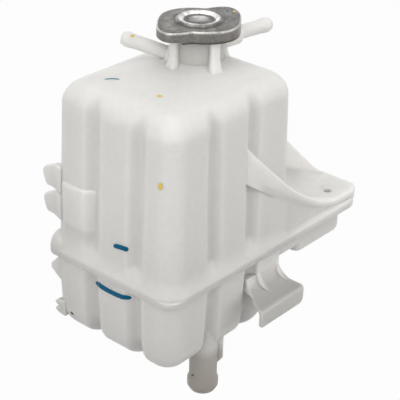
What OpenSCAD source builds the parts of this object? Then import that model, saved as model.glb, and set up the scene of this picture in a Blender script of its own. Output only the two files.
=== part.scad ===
// Coolant expansion tank: two moulded shells welded at a level joint face, with a pressure cap.
// The flange's lower edge is at z = 0, and its near upright corner stands at x = y = 0.

/* [Flange] */
// Length of the flange along X, over the mounting lug
flange_x = 301; // [288:1:320]
// Width of the flange along Y, under the tower
flange_y = 167; // [155:1:185]
// Width of the flange along Y, under the mounting lug
lug_y = 112; // [96:1:130]
// Height of the flange's outer edge
lip_h = 9; // [7:0.5:12]
// Radius of the flange's corners in plan
flange_r = 13; // [8:1:18]
// Thickness of the flange's outer skirt, which hides the weld
skirt_t = 2.6; // [2:0.1:4]

/* [Tower] */
// Length of the tower along X at its foot
tower_x = 182; // [170:1:190]
// Distance from the flange's edge to the foot of a wall
wall_inset = 5; // [3:0.5:8]
// Height of the roof's edge above the flange
roof_z = 183; // [170:1:190]
// Radius of the tower's upright corners
corner_r = 22; // [16:1:26]
// Radius of the shoulder between the walls and the roof
shoulder_r = 24; // [14:1:28]
// Rise of the roof from its edge to the neck
crown = 8; // [4:1:12]
// Lean of the walls from upright, in degrees
draft = 1.5; // [0.5:0.1:2.5]
// Thickness of the moulded wall
wall = 3.2; // [2.4:0.1:4]
// Depth of the upright flutes
flute_d = 7; // [3:0.5:9]
// Width of an upright flute
flute_w = 26; // [16:1:30]
// Place of the first flute along the wall that faces -Y
flute_x = 66; // [58:1:68]
// Place of the first flute along the wall that faces -X
flute_y = 52; // [46:1:60]
// Distance between two flutes
flute_pitch = 56; // [50:1:58]

/* [Side ledge] */
// Thickness of the raised panel on the far lobe of the wall that faces -X
panel_t = 4; // [2:0.5:6]
// Height of the panel's lower edge
panel_z0 = 38; // [30:1:45]
// Height of the panel's upper edge
panel_z1 = 82; // [70:1:95]
// Height of one guide hook on the far wall
hook_h = 29; // [22:1:32]
// Reach of a guide hook from the far wall
hook_reach = 16; // [8:1:20]

/* [Mounting lug] */
// Height of the lug's flat top above the flange
lug_z = 20; // [17:1:24]
// Thickness of the lug's edge
lug_t = 7; // [5:0.5:9]
// Radius of the hole in the lug
lug_hole_r = 4.5; // [3:0.25:6]
// Place of the hole along X
lug_hole_x = 266; // [255:1:272]
// Place of the hole along Y
lug_hole_y = 20; // [17:1:26]
// Height of the near fin where it leaves the tower's wall
fin_z = 138; // [110:1:150]
// Place of the near fin's start along X
fin_x = 102; // [95:1:120]
// Place of the far fin along Y
rib_y = 48; // [42:1:60]
// Thickness of the far fin
rib_t = 7; // [5:0.5:9]

/* [Lower tub] */
// Length of the deep tub along X
tub_x = 163; // [150:1:172]
// Depth of the deep tub below the flange
tub_z = 85; // [68:1:92]
// Radius of the tub's lower edge
tub_r = 27; // [14:1:30]
// Depth of the shallow pod beneath the mounting lug
pod_z = 26; // [22:1:32]
// Depth of the step between the tub and the pod
step_z = 17; // [12:1:20]
// Place of the pod's start along X
pod_x0 = 200; // [190:1:215]
// Place of the pod's end along X
pod_x1 = 273; // [255:1:278]

/* [Foot bracket] */
// Reach of the foot's shelf from the flange's edge
foot_reach = 31; // [22:1:36]
// Depth of the shelf's top below the flange
foot_z = 29; // [24:1:34]
// Height of the foot's turned-down lip
foot_lip = 20; // [14:1:26]
// Length of the foot's lip along X
foot_len = 66; // [50:1:80]
// Thickness of the foot's plates
foot_t = 3.6; // [2.8:0.2:5]

/* [Neck] */
// Place of the neck's axis along X
neck_x = 119; // [110:1:125]
// Place of the neck's axis along Y
neck_y = 78; // [72:1:88]
// Height of the neck's rim above the flange
rim_z = 229; // [224:1:236]
// Outer radius of the neck
neck_r = 24.5; // [24:0.1:25]
// Radius of the neck's mouth
mouth_r = 20.5; // [19.5:0.25:21]
// Radius of the opening in the valve seat
seat_r = 11; // [9.5:0.25:12]
// Depth of the valve seat below the rim
seat_depth = 26; // [24.5:0.5:28]

/* [Hose nipples] */
// Outer radius of a small hose nipple
nipple_r = 6.8; // [6:0.1:7]
// Radius of the bead at a small nipple's tip
nipple_bead_r = 7.4; // [6.8:0.1:8.5]
// Bore radius of a small nipple
nipple_bore_r = 3.2; // [2.5:0.1:3.5]
// Depth of the overflow nipple's axis below the rim
overflow_drop = 21.5; // [21.4:0.1:22]
// Reach of the overflow nipple from the neck's axis
overflow_reach = 91; // [70:1:100]
// Height of the vent nipple's tip above the flange
vent_tip_z = 206; // [202:0.5:210]
// Reach of the vent nipple from the neck's axis
vent_reach = 74; // [60:1:80]
// Climb of the vent nipple towards its tip, in degrees
vent_climb = 13; // [10:1:15]
// Outer radius of the outlet spigot
outlet_r = 14; // [12:0.5:16]
// Radius of the bead on the outlet spigot
outlet_bead_r = 15.6; // [14.2:0.1:18]
// Bore radius of the outlet spigot
outlet_bore_r = 11; // [8:0.5:11.5]
// Length of the outlet spigot below the tub
outlet_len = 49; // [45:1:75]
// Place of the outlet's axis along X
outlet_x = 77; // [66:1:90]
// Place of the outlet's axis along Y
outlet_y = 24; // [24:1:40]

/* [Cap] */
// Radius of the cap at its waist, beside each ear
waist_r = 32.6; // [31.6:0.2:34]
// Radius of the cap at its full side, between the ears
side_r = 38.4; // [35:0.2:40]
// Height of the cap's skirt
cap_h = 12; // [11.6:0.2:13]
// Distance between the tips of the cap's ears
cap_span = 95; // [84:1:100]
// Thickness of the cap's sheet steel
cap_t = 1.2; // [0.8:0.1:1.4]
// Height of the ring pressed into the cap's top
ring_h = 2.2; // [1.4:0.1:3]
// Lift of the pressure valve when it blows off
valve_lift = 2.2; // [1:0.1:3]
// Drop of the vacuum valve when it opens
vacuum_drop = 1.5; // [0.8:0.1:2]
// Radius of the pressure valve's plate
valve_r = 17; // [15.5:0.25:17.5]
// Wire radius of the pressure spring
wire_r = 0.9; // [0.7:0.05:1]

/* [Hidden] */
$fn = 64;

milky = [0.83, 0.82, 0.80];
steel = [0.40, 0.38, 0.36];
zinc = [0.72, 0.72, 0.70];
brass = [0.76, 0.62, 0.32];
black = [0.10, 0.10, 0.10];

// Reach of a cutting solid past the face it cuts, and depth of a rib's root in the wall behind it
past = 1;
sunk = 8;

// Flange and joint face
weld_z = 4;
gap = 0.3;
edge_z = 2;
edge_r = 0.7;
trim_r = 0.8;
lug_over = 3;
lug_edge_r = flange_r + 4;
box_x = tower_x + wall_inset * 2;
corner_n = 5;

// Tower: fillet at its foot, as shares of the inset, of a flute's depth and of the fillet's height
fillet_h = 18;
fillet_low = [0.45, 0.15, 0.25];
fillet_mid = [0.8, 0.5, 0.6];
flute_end = 12;
flute_top = 0.7;
brow_a = 75;
rib_root = 2;
least_r = 4;

// Side panel: share of a flute that it covers, its depth into the tower, the run of its foot and its brow
panel_lap = 0.3;
panel_r = 4;
panel_deep = 40;
panel_foot = 8;
panel_brow = [3, 2];

// Far corner: the hump's steps as [outer inset, inner inset, height, less radius], hooks, tab and teeth
hump_side = flange_r * 2 + 4;
hump_steps = [[0, 0, lip_h - 3, 0], [0.6, 1, 13, 0], [2.4, 2, 18, 1], [6, 4, 21, 3]];
hook_x = [11, 16];
hook_tip = [5, 2, 3];
hook_mid = [0.6, 0.66];
hook_head = [6, 1.5];
tab_x = [6.5, 9.5];
tab = [[-16, -2], [-5, -7], [1.5, -14], [4, -17], [4, -21.5], [-6, -29], [-16, -34]];
tooth_x = [5, 12];
tooth_z = [-62, -70];
tooth = [[-16, -1], [-7, 0], [-2.5, 2.2], [-2, 4.5], [-7, 8], [-16, 10]];

// Mounting lug: dimple round its hole, fins, slab's steps [start, inset, radius, height] and collar's
spot_r = 8;
boss_t = 3;
lug_blind = 3;
slab_x0 = lug_hole_x - 6;
slab_steps = [[0, wall_inset, 0, lip_h - edge_z], [0, 1, 2, lug_z - lug_t], [0, 1, 2, lug_z - edge_z],
    [2, 3, 0, lug_z]];
collar_steps = [[0, 4, -2.01], [0.7, 4, 0], [wall_inset, 0, 4]];
rib_foot = 4;
crest_power = 1.58;
under_x = 272;
under_share = 0.77;
under_power = 1.4;
fin_face = 1.2;
fin_edge = 1.5;
fin_fade = 24;
fin_sink = 3;
fin_slope = 6;
ridge_end = 7;
ridge_slope = 0.97;
ridge_soft = 120;
saddle_drop = 6;
saddle_end = 10;
saddle_slope = 0.52;
saddle_power = 3.6;
lug_x0 = box_x / 2 + 4;
lug_back = 14;

// Neck and nipples
throat_z = roof_z - 10;
seat_z = rim_z - seat_depth;
seat_t = 3.4;
ledge_t = 6;
ledge_r = neck_r + 3;
rib_reach = 6.3;
rib_w = 10;
rib_drop = 2.8;
boss_r = nipple_r + 3.6;
overflow_boss = 48;
vent_boss = 30;
tip_t = 1.4;
tip_z = [13, 9, 4];
bore_in = 4;
vent_angle = 118;
overflow_angle = -8;
finger_half = 20;
notch_half = 27;

// Tub, step and pod; a chamber's steps are its insets at the near end, sides and far end, and a height
tub_inset = 3.5;
tub_arc = [84, 66, 50, 34, 17];
tub_flute = [1.2, 0.8];
pod_inset = wall_inset + 1;
pod_r = 6;
pod_lean = 0.2;
pod_steps = [[6, 8, 7, 0], [2, 3, 3, 3], [0, 0, 0, 9]];
step_x0 = tub_x - 20;
step_x1 = pod_x0 + 12;

// Outlet: heights of its bead, and the web beside its root
outlet_tip = 1.5;
bead_h = [4, 14, 17];
web_a = -40;
web_t = 3.6;
web_reach = 5.5;
web_up = 12;
web_drop = 14;

// Foot
bend_r = 12;
bend_back = 4;
lip_r = 3;
lip_taper = 5;
lip_end_r = 8;
foot_run = 16;
foot_plate = 2;
gusset_reach = 0.55;

// Cap and its valve
gasket_t = 1.2;
disc_t = 0.6;
cap_z = rim_z + gasket_t + disc_t + cap_t;
finger_a = 40;
waist_a = 33;
side_a = 110;
ear_power = 2.2;
ear_rise = 2.6;
cap_n = 90;
dome_r = 10.4;
dome_share = 0.75;
moat_r = [13.5, 15];
ring_r0 = 15.5;
ring_w = 6.6;
plain_r = 24;
full_r = side_r + 0.4;
finger_gap = 0.9;
slit = [14, 2, 4];
slit_r = waist_r - 4;
slit_a = [-24, 22, 156, 202];
gasket_edge = [0.5, 0.8];
seal_t = 2.6;
plate_t = 1;
plate_z = seat_z + seal_t;
bell_z = plate_z + plate_t + valve_lift + gap * 3;
bell_r = 14.2;
bell_lip = 1.4;
bell_top = rim_z + gasket_t - plate_t;
slot_w = 5;
slot_h = 9;
slot_a = 60;
collar_z = bell_z + plate_t + gap;
sleeve_r = bell_r - bell_lip - 0.5;
collar_r = bell_r - 0.5;
spring_r = bell_r - wire_r - 0.8;
rivet_r = 2;
rivet_head_r = 3.6;
rivet_head_t = 1.6;
rivet_top_r = 4.2;
stem_r = 1.3;
stem_gap = 0.9;
seal_hole_r = seat_r - 6.5;
vacuum_r = seat_r - 4;
washer_z = plate_z + plate_t + vacuum_drop + 3.5;
washer_r = 3.9;
washer_t = 0.8;
vacuum_wire_r = 0.35;
vacuum_coil_r = 2.9;

// Points of an arc about c from angle a0 to a1
function arc(c, r, a0, a1, n) =
    [for (i = [0:n]) c + r * [cos(a0 + (a1 - a0) * i / n), sin(a0 + (a1 - a0) * i / n)]];

// Places along a wall that follow its two flutes, five to a flute
function stations(first) = [for (c = [first, first + flute_pitch]) for (k = [-2:2]) c + k * flute_w / 4];

// Share of a flute's depth at place u: 1 at a flute's middle, 0 outside it
function flute(u, first) = max([for (c = [first, first + flute_pitch])
    abs(u - c) < flute_w / 2 ? (1 + cos(360 * (u - c) / flute_w)) / 2 : 0]);

// Plan of a box with rounded corners, inset by i, with flutes of depth f on its two near walls
function fluted_plan(x1, y1, i, r, f) =
    let (rc = max(r - i / 2, least_r), lo = i + rc, us = stations(flute_x), vs = stations(flute_y))
    concat(
        arc([lo, lo], rc, 180, 270, corner_n),
        [for (u = us) [u, i + f * flute(u, flute_x)]],
        arc([x1 - lo, lo], rc, 270, 360, corner_n),
        arc([x1 - lo, y1 - lo], rc, 0, 90, corner_n),
        arc([lo, y1 - lo], rc, 90, 180, corner_n),
        [for (k = [len(vs) - 1:-1:0]) [i + f * flute(vs[k], flute_y), vs[k]]]);

// Plan of a plain box with rounded corners
function box_plan(x0, y0, x1, y1, r) = concat(
    arc([x0 + r, y0 + r], r, 180, 270, corner_n), arc([x1 - r, y0 + r], r, 270, 360, corner_n),
    arc([x1 - r, y1 - r], r, 0, 90, corner_n), arc([x0 + r, y1 - r], r, 90, 180, corner_n));

function at_z(pts, z) = [for (p = pts) [p[0], p[1], z]];

function mix(a, b, s) = a * (1 - s) + b * s;

function flip(list) = [for (k = [len(list) - 1:-1:0]) list[k]];

function mean(pts) = [for (p = pts) 1] * pts / len(pts);

// Closed solid through a stack of rings that run counter-clockwise and rise; its ends are fans
module loft(rings) {
    n = len(rings[0]);
    m = len(rings);
    last = (m - 1) * n;
    sides = [for (j = [0:m - 2]) for (k = [0:n - 1])
        let (a = j * n + k, b = j * n + (k + 1) % n)
        each [[a, b + n, b], [a, a + n, b + n]]];
    ends = [for (k = [0:n - 1]) each [[k, (k + 1) % n, m * n], [last + (k + 1) % n, last + k, m * n + 1]]];
    polyhedron(points = concat([for (r = rings) each r], [mean(rings[0]), mean(rings[m - 1])]),
        faces = concat(sides, ends));
}

// Prism along Y from y0 to y1 with its outline given in x and z
module slab_y(y0, y1, outline) {
    translate([0, y1, 0]) rotate([90, 0, 0]) linear_extrude(y1 - y0) polygon(outline);
}

// Prism along X from x0 to x1 with its outline given in y and z
module slab_x(x0, x1, outline) {
    translate([x0, 0, 0]) rotate([90, 0, 90]) linear_extrude(x1 - x0) polygon(outline);
}

// Sector of a ring between two radii, centred on angle a
module sector(r0, r1, h, a, half) {
    intersection() {
        difference() {
            cylinder(r = r1, h = h);
            translate([0, 0, -past]) cylinder(r = r0, h = h + 2 * past);
        }
        rotate(a) translate([0, 0, -past]) linear_extrude(h + 2 * past)
            polygon([[0, 0], [2 * r1, -2 * r1 * tan(half)], [2 * r1, 2 * r1 * tan(half)]]);
    }
}

// Moves the model so that its origin is the middle of the lug's hole, on the lug's top
module datum() {
    translate([-lug_hole_x, -lug_hole_y, -lug_z]) children();
}

module at_neck(z) {
    translate([neck_x, neck_y, z]) children();
}

// Flat plans

module rounded(lo, hi, r) {
    polygon(box_plan(lo[0], lo[1], hi[0], hi[1], r));
}

// Plan of the whole flange, inset by i, and cut short by e at the lug's end
module plate(i, e) {
    rounded([i, i], [box_x - i, flange_y - i], flange_r - i);
    rounded([box_x / 2, i], [flange_x - i - e, lug_y - i], lug_edge_r - i);
}

// Tower

function tower_plan(i, f) = fluted_plan(box_x, flange_y, i, corner_r, f);

// A roof point drawn towards the neck's circle by share s
function roof_point(p, s, top, t) =
    let (d = [p[0] - neck_x, p[1] - neck_y],
        c = [neck_x, neck_y] + d / norm(d) * (neck_r + rib_root - t),
        q = mix([p[0], p[1]], c, s))
    [q[0], q[1], mix(p[2], top, min(1, s * 2)) + crown * s];

// Rings of the tower's outer face, or of its inner face at depth t: foot, walls, shoulder and roof
function tower_rings(t) =
    let (lean = tan(draft), top = roof_z - t, sr = shoulder_r - t / 2, sz = top - sr,
        foot = wall_inset + t, last = foot + lean * sz,
        brow = at_z(tower_plan(last + sr * (1 - cos(brow_a)), 0), sz + sr * sin(brow_a)))
    concat(
        t > 0 ? [at_z(tower_plan(foot + past, flute_d * fillet_mid[1]), weld_z - past)]
            : [at_z(tower_plan(0, 0), lip_h - edge_z), at_z(tower_plan(edge_r, 0), lip_h),
                at_z(tower_plan(foot * fillet_low[0], flute_d * fillet_low[1]),
                    lip_h + fillet_h * fillet_low[2])],
        [at_z(tower_plan(foot * (t > 0 ? 1 : fillet_mid[0]), flute_d * fillet_mid[1]),
            lip_h + fillet_h * fillet_mid[2])],
        [at_z(tower_plan(foot + lean * fillet_h, flute_d), lip_h + fillet_h)],
        [at_z(tower_plan(foot + lean * sz / 2, flute_d), sz / 2)],
        [at_z(tower_plan(last - lean * flute_end, flute_d), sz - flute_end)],
        [for (a = [0:25:50])
            at_z(tower_plan(last + sr * (1 - cos(a)), flute_d * flute_top * (1 - a / brow_a)),
                sz + sr * sin(a))],
        [for (s = [0, 0.3, 0.65, 1]) [for (p = brow) roof_point(p, s, top, t)]]);

// Plan of the side panel, its outer face pushed in by e and its near end by f
function panel_plan(e, f) =
    let (face = wall_inset + tan(draft) * panel_z1 - panel_t)
    box_plan(face + e, flute_y + flute_pitch - flute_w * panel_lap + f, face + panel_deep,
        flange_y - corner_r, panel_r);

// Raised panel on the far lobe of the wall that faces -X
module side_panel() {
    loft([
        at_z(panel_plan(panel_t, panel_r), panel_z0 - panel_foot),
        at_z(panel_plan(0, 0), panel_z0),
        at_z(panel_plan(0, 0), panel_z1 - panel_brow[0]),
        at_z(panel_plan(panel_brow[0], panel_brow[1]), panel_z1)]);
}

// Rounded hump on the flange's far corner
module hump() {
    y0 = flange_y - hump_side;
    loft([for (p = hump_steps)
        at_z(box_plan(p[0], y0 + p[1], hump_side - p[1], flange_y - p[0], flange_r - p[3]), p[2])]);
}

// Guide hook on the far wall, sloped on top and flat beneath
module guide_hook(z) {
    y0 = flange_y - wall_inset - sunk;
    y1 = flange_y - wall_inset + hook_reach;
    slab_x(hook_x[0], hook_x[1], [[y0, z], [y1 - hook_tip[0], z], [y1 - hook_tip[1], z + hook_tip[2]],
        [y1, z + hook_h * hook_mid[0]], [y1 - hook_tip[1], z + hook_h * hook_mid[1]],
        [y0 + hook_head[0], z + hook_h - hook_head[1]], [y0, z + hook_h - hook_head[1]]]);
}

// Mounting lug

// Top edge of the near fin at x
function crest(x) =
    let (s = (slab_x0 - x) / (slab_x0 - fin_x)) lug_z + (s > 0 ? (fin_z - lug_z) * pow(s, crest_power) : 0);

// Lower edge of the near fin at x
function underline(x) =
    let (s = (under_x - x) / (under_x - fin_x))
    lug_z - lug_t + (s > 0 ? (fin_z - lug_z) * under_share * pow(s, under_power) : 0);

// Top edge of the far fin at x, a slope that runs out softly
function ridge(x) =
    let (d = flange_x - ridge_end - x) lug_z - 3 + ridge_slope * (d + sqrt(d * d + ridge_soft)) / 2;

// Height of the lug's top between the fins, at x and at share s of the way to the far fin
function saddle(x, s) =
    mix(max(lug_z, crest(x) - saddle_drop), lug_z + max(0, saddle_slope * (flange_x - saddle_end - x)),
        pow(s, saddle_power));

// Cross-section of the hollow lug at x, at depth t inside its outer face
function lug_section(x, t) =
    let (y0 = wall_inset + t, back = lug_y - wall_inset - t, floor = weld_z - (t > 0 ? past : 0))
    concat([[x, y0, floor]],
        [for (s = [0:0.2:1]) [x, mix(y0, rib_y, s), saddle(x, s) - t]],
        [[x, rib_y + rib_t, saddle(x, 1) - t], [x, rib_y + rib_t + lug_back, lug_z - t],
            [x, back, lug_z - t], [x, back, floor]]);

module lug_body(x0, t) {
    intersection() {
        loft([for (k = [0:18]) flip(lug_section(mix(x0, flange_x, k / 18), t))]);
        linear_extrude(roof_z) plate(lug_over + t, lug_over);
    }
}

// Cross-section of the near fin at x; its face starts sunk in the tower's wall and slopes in beneath
function fin_section(x) =
    let (top = crest(x), low = underline(x), back = wall_inset + sunk,
        face = fin_face + fin_sink * pow(max(0, 1 - (x - fin_x) / fin_fade), 2))
    [[x, back, top], [x, face + fin_edge, top], [x, face, top - fin_edge], [x, face, low],
        [x, wall_inset + past / 2, low - fin_slope], [x, back, low - fin_slope]];

module lug_fins() {
    root = tower_x - sunk;
    end = flange_x - edge_z;
    loft([for (p = slab_steps)
        at_z(box_plan(slab_x0 + p[0], p[1], flange_x - p[1], lug_y - p[1], flange_r + p[2]), p[3])]);
    intersection() {
        union() {
            loft([for (k = [0:14]) fin_section(mix(fin_x, flange_x, k / 14))]);
            slab_y(rib_y, rib_y + rib_t, concat([[root, lug_z - rib_foot], [end, lug_z - rib_foot]],
                [for (k = [0:8]) let (x = mix(end, root, k / 8)) [x, ridge(x)]]));
        }
        linear_extrude(roof_z) plate(trim_r, 0);
    }
}

// Collar that sweeps the lip up into the lug's walls
module lug_collar() {
    x0 = box_x / 2;
    x1 = flange_x - lug_over;
    loft([for (p = collar_steps)
        at_z(box_plan(x0, p[0], x1 - p[0], lug_y - p[0], flange_r + p[1]), lip_h + p[2])]);
}

// Neck

module fins() {
    for (a = [75:90:345]) rotate(a) translate([neck_r - rib_root, -rib_w / 2, roof_z - rib_foot])
        cube([rib_root + rib_reach, rib_w, rim_z - ledge_t - rib_drop - roof_z + rib_foot]);
}

// Hose nipple along +X from the axis, with a boss at its root and a bead at its tip
module nipple(reach, boss_reach) {
    rotate([0, 90, 0]) {
        cylinder(r = nipple_r, h = reach - edge_z);
        cylinder(r = boss_r, h = boss_reach);
        translate([0, 0, reach - tip_z[0]])
            cylinder(r1 = nipple_r, r2 = nipple_bead_r, h = tip_z[0] - tip_z[1]);
        translate([0, 0, reach - tip_z[1]]) cylinder(r = nipple_bead_r, h = tip_z[1] - tip_z[2]);
        translate([0, 0, reach - tip_z[2]])
            cylinder(r1 = nipple_bead_r, r2 = nipple_r - tip_t, h = tip_z[2]);
    }
}

module place_overflow() {
    at_neck(rim_z - overflow_drop) rotate(overflow_angle) children();
}

module place_vent() {
    at_neck(vent_tip_z - vent_reach * tan(vent_climb)) rotate([0, -vent_climb, vent_angle]) children();
}

module neck_outer() {
    at_neck(0) {
        translate([0, 0, roof_z - sunk]) cylinder(r = neck_r, h = rim_z - roof_z + sunk);
        difference() {
            translate([0, 0, rim_z - ledge_t]) cylinder(r = ledge_r, h = ledge_t);
            for (a = [finger_a + 90, finger_a + 270]) translate([0, 0, rim_z - ledge_t - past])
                sector(neck_r, ledge_r + past, ledge_t + 2 * past, a, notch_half);
        }
        fins();
    }
    place_overflow() nipple(overflow_reach, overflow_boss);
    place_vent() nipple(vent_reach / cos(vent_climb), vent_boss);
}

module neck_bores() {
    at_neck(0) {
        translate([0, 0, seat_z]) cylinder(r = mouth_r, h = seat_depth + past);
        translate([0, 0, seat_z - seat_t - past]) cylinder(r = seat_r, h = seat_t + 2 * past);
        translate([0, 0, throat_z]) cylinder(r = mouth_r, h = seat_z - seat_t - throat_z);
    }
    place_overflow() rotate([0, 90, 0]) translate([0, 0, mouth_r - bore_in + past])
        cylinder(r = nipple_bore_r, h = overflow_reach);
    place_vent() rotate([0, 90, 0]) translate([0, 0, mouth_r - bore_in])
        cylinder(r = nipple_bore_r, h = vent_reach);
}

module upper_shell() {
    color(milky) datum() {
        difference() {
            union() {
                loft(tower_rings(0));
                side_panel();
                hump();
                for (k = [0, 1]) guide_hook(panel_z0 - past + k * hook_h);
                linear_extrude(lip_h - edge_z) plate(0, lug_over);
                lug_body(lug_x0, 0);
                lug_fins();
                lug_collar();
                neck_outer();
            }
            loft(tower_rings(wall));
            lug_body(tower_x - sunk, wall);
            translate([0, 0, -past]) linear_extrude(weld_z + past) plate(skirt_t, lug_over);
            neck_bores();
            translate([lug_hole_x, lug_hole_y, weld_z - past]) cylinder(r = lug_hole_r, h = lug_z);
            translate([lug_hole_x, lug_hole_y, lug_z]) cylinder(r = spot_r, h = lug_z);
        }
        translate([lug_hole_x, lug_hole_y, weld_z]) difference() {
            cylinder(r = lug_hole_r + boss_t, h = lug_z - weld_z);
            translate([0, 0, lug_blind]) cylinder(r = lug_hole_r, h = lug_z);
        }
    }
}

// Lower tub

function tub_plan(i, f) = fluted_plan(tub_x, flange_y, i, corner_r, f);

// Rings of the tub's outer face, or of its inner face at depth t, from its floor up
function tub_rings(t) =
    let (inset = tub_inset + t, r = tub_r - t / 2, lean = tan(draft), low = r - tub_z + t,
        slope = inset + lean * tub_z)
    concat(
        [for (a = tub_arc)
            at_z(tub_plan(slope + r * (1 - cos(a)), flute_d * (tub_flute[0] + tub_flute[1] * sin(2 * a))),
                low - r * sin(a))],
        [at_z(tub_plan(slope, flute_d * tub_flute[0]), low)],
        [at_z(tub_plan(inset, flute_d), weld_z + (t > 0 ? past : -past))]);

// Shallow chamber between x0 and x1, down to depth z, at depth t inside its outer face
module chamber(x0, x1, z, t) {
    y0 = pod_inset + t;
    y1 = lug_y - pod_inset - t;
    x2 = x1 - t;
    loft([
        for (p = pod_steps) at_z(box_plan(x0 + p[0], y0 + p[1], x2 - p[2], y1 - p[1], pod_r), p[3] + t - z),
        at_z(box_plan(x0, y0, x2 + pod_lean, y1, pod_r), weld_z + (t > 0 ? past : -past))]);
}

// Hooked foot: a shelf with a turned-down lip, cut off aslant at its left end, on a plate with two gussets
module foot() {
    x1 = tub_x;
    x0 = x1 - foot_len;
    xm = x1 - foot_len / 2;
    root = wall_inset + sunk + past;
    y1 = -foot_reach;
    y2 = y1 + foot_t;
    yg = y1 * gusset_reach;
    low = -foot_z - foot_lip;
    top = -sunk;
    intersection() {
        slab_x(x0, x1, concat([[root, bend_r - foot_z]],
            [for (a = [0:15:90]) [bend_back - bend_r * (1 - cos(a)), bend_r * (1 - sin(a)) - foot_z]],
            [[y1 + lip_r, -foot_z], [y1 + lip_r * 0.3, -foot_z - lip_r * 0.3], [y1, -foot_z - lip_r],
            [y1, low + lip_taper], [y1 + past, low], [y2, low], [y2, -foot_z - foot_t - bend_back],
            [y2 + bend_back, -foot_z - foot_t], [root, -foot_z - foot_t]]));
        translate([0, 0, low - past]) linear_extrude(foot_z + foot_lip) polygon([[x0, y1 - past],
            [x1 + past, y1 - past], [x1 + past, root], [x0 + foot_run + wall_inset + past, root],
            [x0 + foot_run, -wall_inset], [x0, y1 + lip_r]]);
        slab_y(y1 - past, root, concat([[x0, 0]], arc([x0 + lip_r, lip_r + low], lip_r, 180, 270, 3),
            arc([x1 - lip_end_r, lip_end_r + low], lip_end_r, 270, 360, corner_n), [[x1, 0]]));
    }
    slab_x(xm, x1, [[root, -foot_z], [foot_plate, -foot_z], [foot_plate, -past], [root, -past]]);
    for (x = [x1 - foot_t, xm]) slab_x(x, x + foot_t, concat(
        [[root, -foot_z - past], [root, top], [wall_inset, top]],
        [for (a = [0:15:90])
            [mix(wall_inset - foot_plate, yg, 1 - cos(a)), mix(top - past, -foot_z, sin(a))]],
        [[yg, -foot_z - past]]));
}

// Corner tab under the flange and two clip teeth below it, on the far corner
module corner_clips() {
    y = flange_y - wall_inset;
    slab_x(tab_x[0], tab_x[1], [for (p = tab) [y + p[0], p[1]]]);
    for (z = tooth_z) slab_x(tooth_x[0], tooth_x[1], [for (p = tooth) [y + p[0], z + p[1]]]);
}

module outlet() {
    translate([outlet_x, outlet_y, -tub_z - outlet_len]) {
        translate([0, 0, bead_h[0] - past]) cylinder(r = outlet_r, h = outlet_len + tub_r);
        cylinder(r1 = outlet_r - outlet_tip, r2 = outlet_bead_r, h = bead_h[0]);
        translate([0, 0, bead_h[0]]) cylinder(r = outlet_bead_r, h = bead_h[1] - bead_h[0]);
        translate([0, 0, bead_h[1]]) cylinder(r1 = outlet_bead_r, r2 = outlet_r, h = bead_h[2] - bead_h[1]);
        rotate(web_a) slab_y(-web_t / 2, web_t / 2, [[outlet_r - rib_root, outlet_len + web_up],
            [outlet_r + web_reach, outlet_len + web_up], [outlet_r + web_reach, outlet_len - web_drop],
            [outlet_r - rib_root, outlet_len - web_drop - sunk]]);
    }
}

module lower_shell() {
    color(milky) datum() difference() {
        union() {
            loft(tub_rings(0));
            chamber(step_x0, step_x1, step_z, 0);
            chamber(pod_x0, pod_x1, pod_z, 0);
            linear_extrude(weld_z) plate(skirt_t + gap, lug_over);
            foot();
            corner_clips();
            outlet();
        }
        loft(tub_rings(wall));
        chamber(step_x0, step_x1, step_z, wall);
        chamber(pod_x0 + wall, pod_x1, pod_z, wall);
        translate([outlet_x, outlet_y, -tub_z - outlet_len - past])
            cylinder(r = outlet_bore_r, h = outlet_len + tub_r - wall);
    }
}

// Cap

// Radius of the cap's outline at angle a past an ear's tip: ear, waist, side and next ear
function ear_radius(a) =
    a < waist_a ? mix(waist_r, cap_span / 2, (1 + cos(180 * a / waist_a)) / 2)
    : a < side_a ? mix(waist_r, side_r, (1 - cos(180 * (a - waist_a) / (side_a - waist_a))) / 2)
    : mix(side_r, cap_span / 2, pow((1 - cos(180 * (a - side_a) / (180 - side_a))) / 2, ear_power));

// Plan of the cap, inset by i
module cap_plan(i) {
    polygon([for (k = [0:cap_n - 1]) let (a = k * 360 / cap_n, r = ear_radius(a % 180) - i)
        r * [cos(a), sin(a)]]);
}

// Sheet pressed into a ring and a dome, in radius and height above the cap's plate
function pressing(lift) = concat(
    [for (k = [0:4]) [dome_r * k / 4, ring_h * dome_share * cos(90 * k / 4) + lift]],
    [for (r = moat_r) [r, lift]],
    [for (k = [0:6]) [ring_r0 + ring_w * k / 6, ring_h * sin(180 * k / 6) + lift]],
    [[plain_r, lift]]);

module cap_cover() {
    skirt_z = cap_z - cap_h;
    color(steel) datum() at_neck(0) {
        difference() {
            union() {
                translate([0, 0, skirt_z + ear_rise]) linear_extrude(cap_h - ear_rise) cap_plan(0);
                intersection() {
                    translate([0, 0, skirt_z]) linear_extrude(cap_h) cap_plan(0);
                    cylinder(r = full_r, h = cap_z);
                }
            }
            translate([0, 0, skirt_z - past]) linear_extrude(cap_h + past - cap_t) cap_plan(cap_t);
            translate([0, 0, cap_z - cap_t - past]) cylinder(r = plain_r - past, h = cap_t + 2 * past);
            for (a = slit_a) rotate(finger_a + a) translate([slit_r, -slit[1] / 2, skirt_z - past])
                cube(slit);
        }
        translate([0, 0, cap_z]) rotate_extrude() polygon(concat(pressing(0), flip(pressing(-cap_t))));
        for (a = [finger_a, finger_a + 180]) intersection() {
            translate([0, 0, rim_z - ledge_t - gap - cap_t])
                sector(neck_r + finger_gap, cap_span, cap_t, a, finger_half);
            translate([0, 0, skirt_z]) linear_extrude(cap_h) cap_plan(cap_t / 2);
        }
    }
}

// Ring of sheet from radius r0 to r1, from height z0 to z1
module washer(r0, r1, z0, z1) {
    at_neck(z0) difference() {
        cylinder(r = r1, h = z1 - z0);
        translate([0, 0, -past]) cylinder(r = r0, h = z1 - z0 + 2 * past);
    }
}

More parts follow.
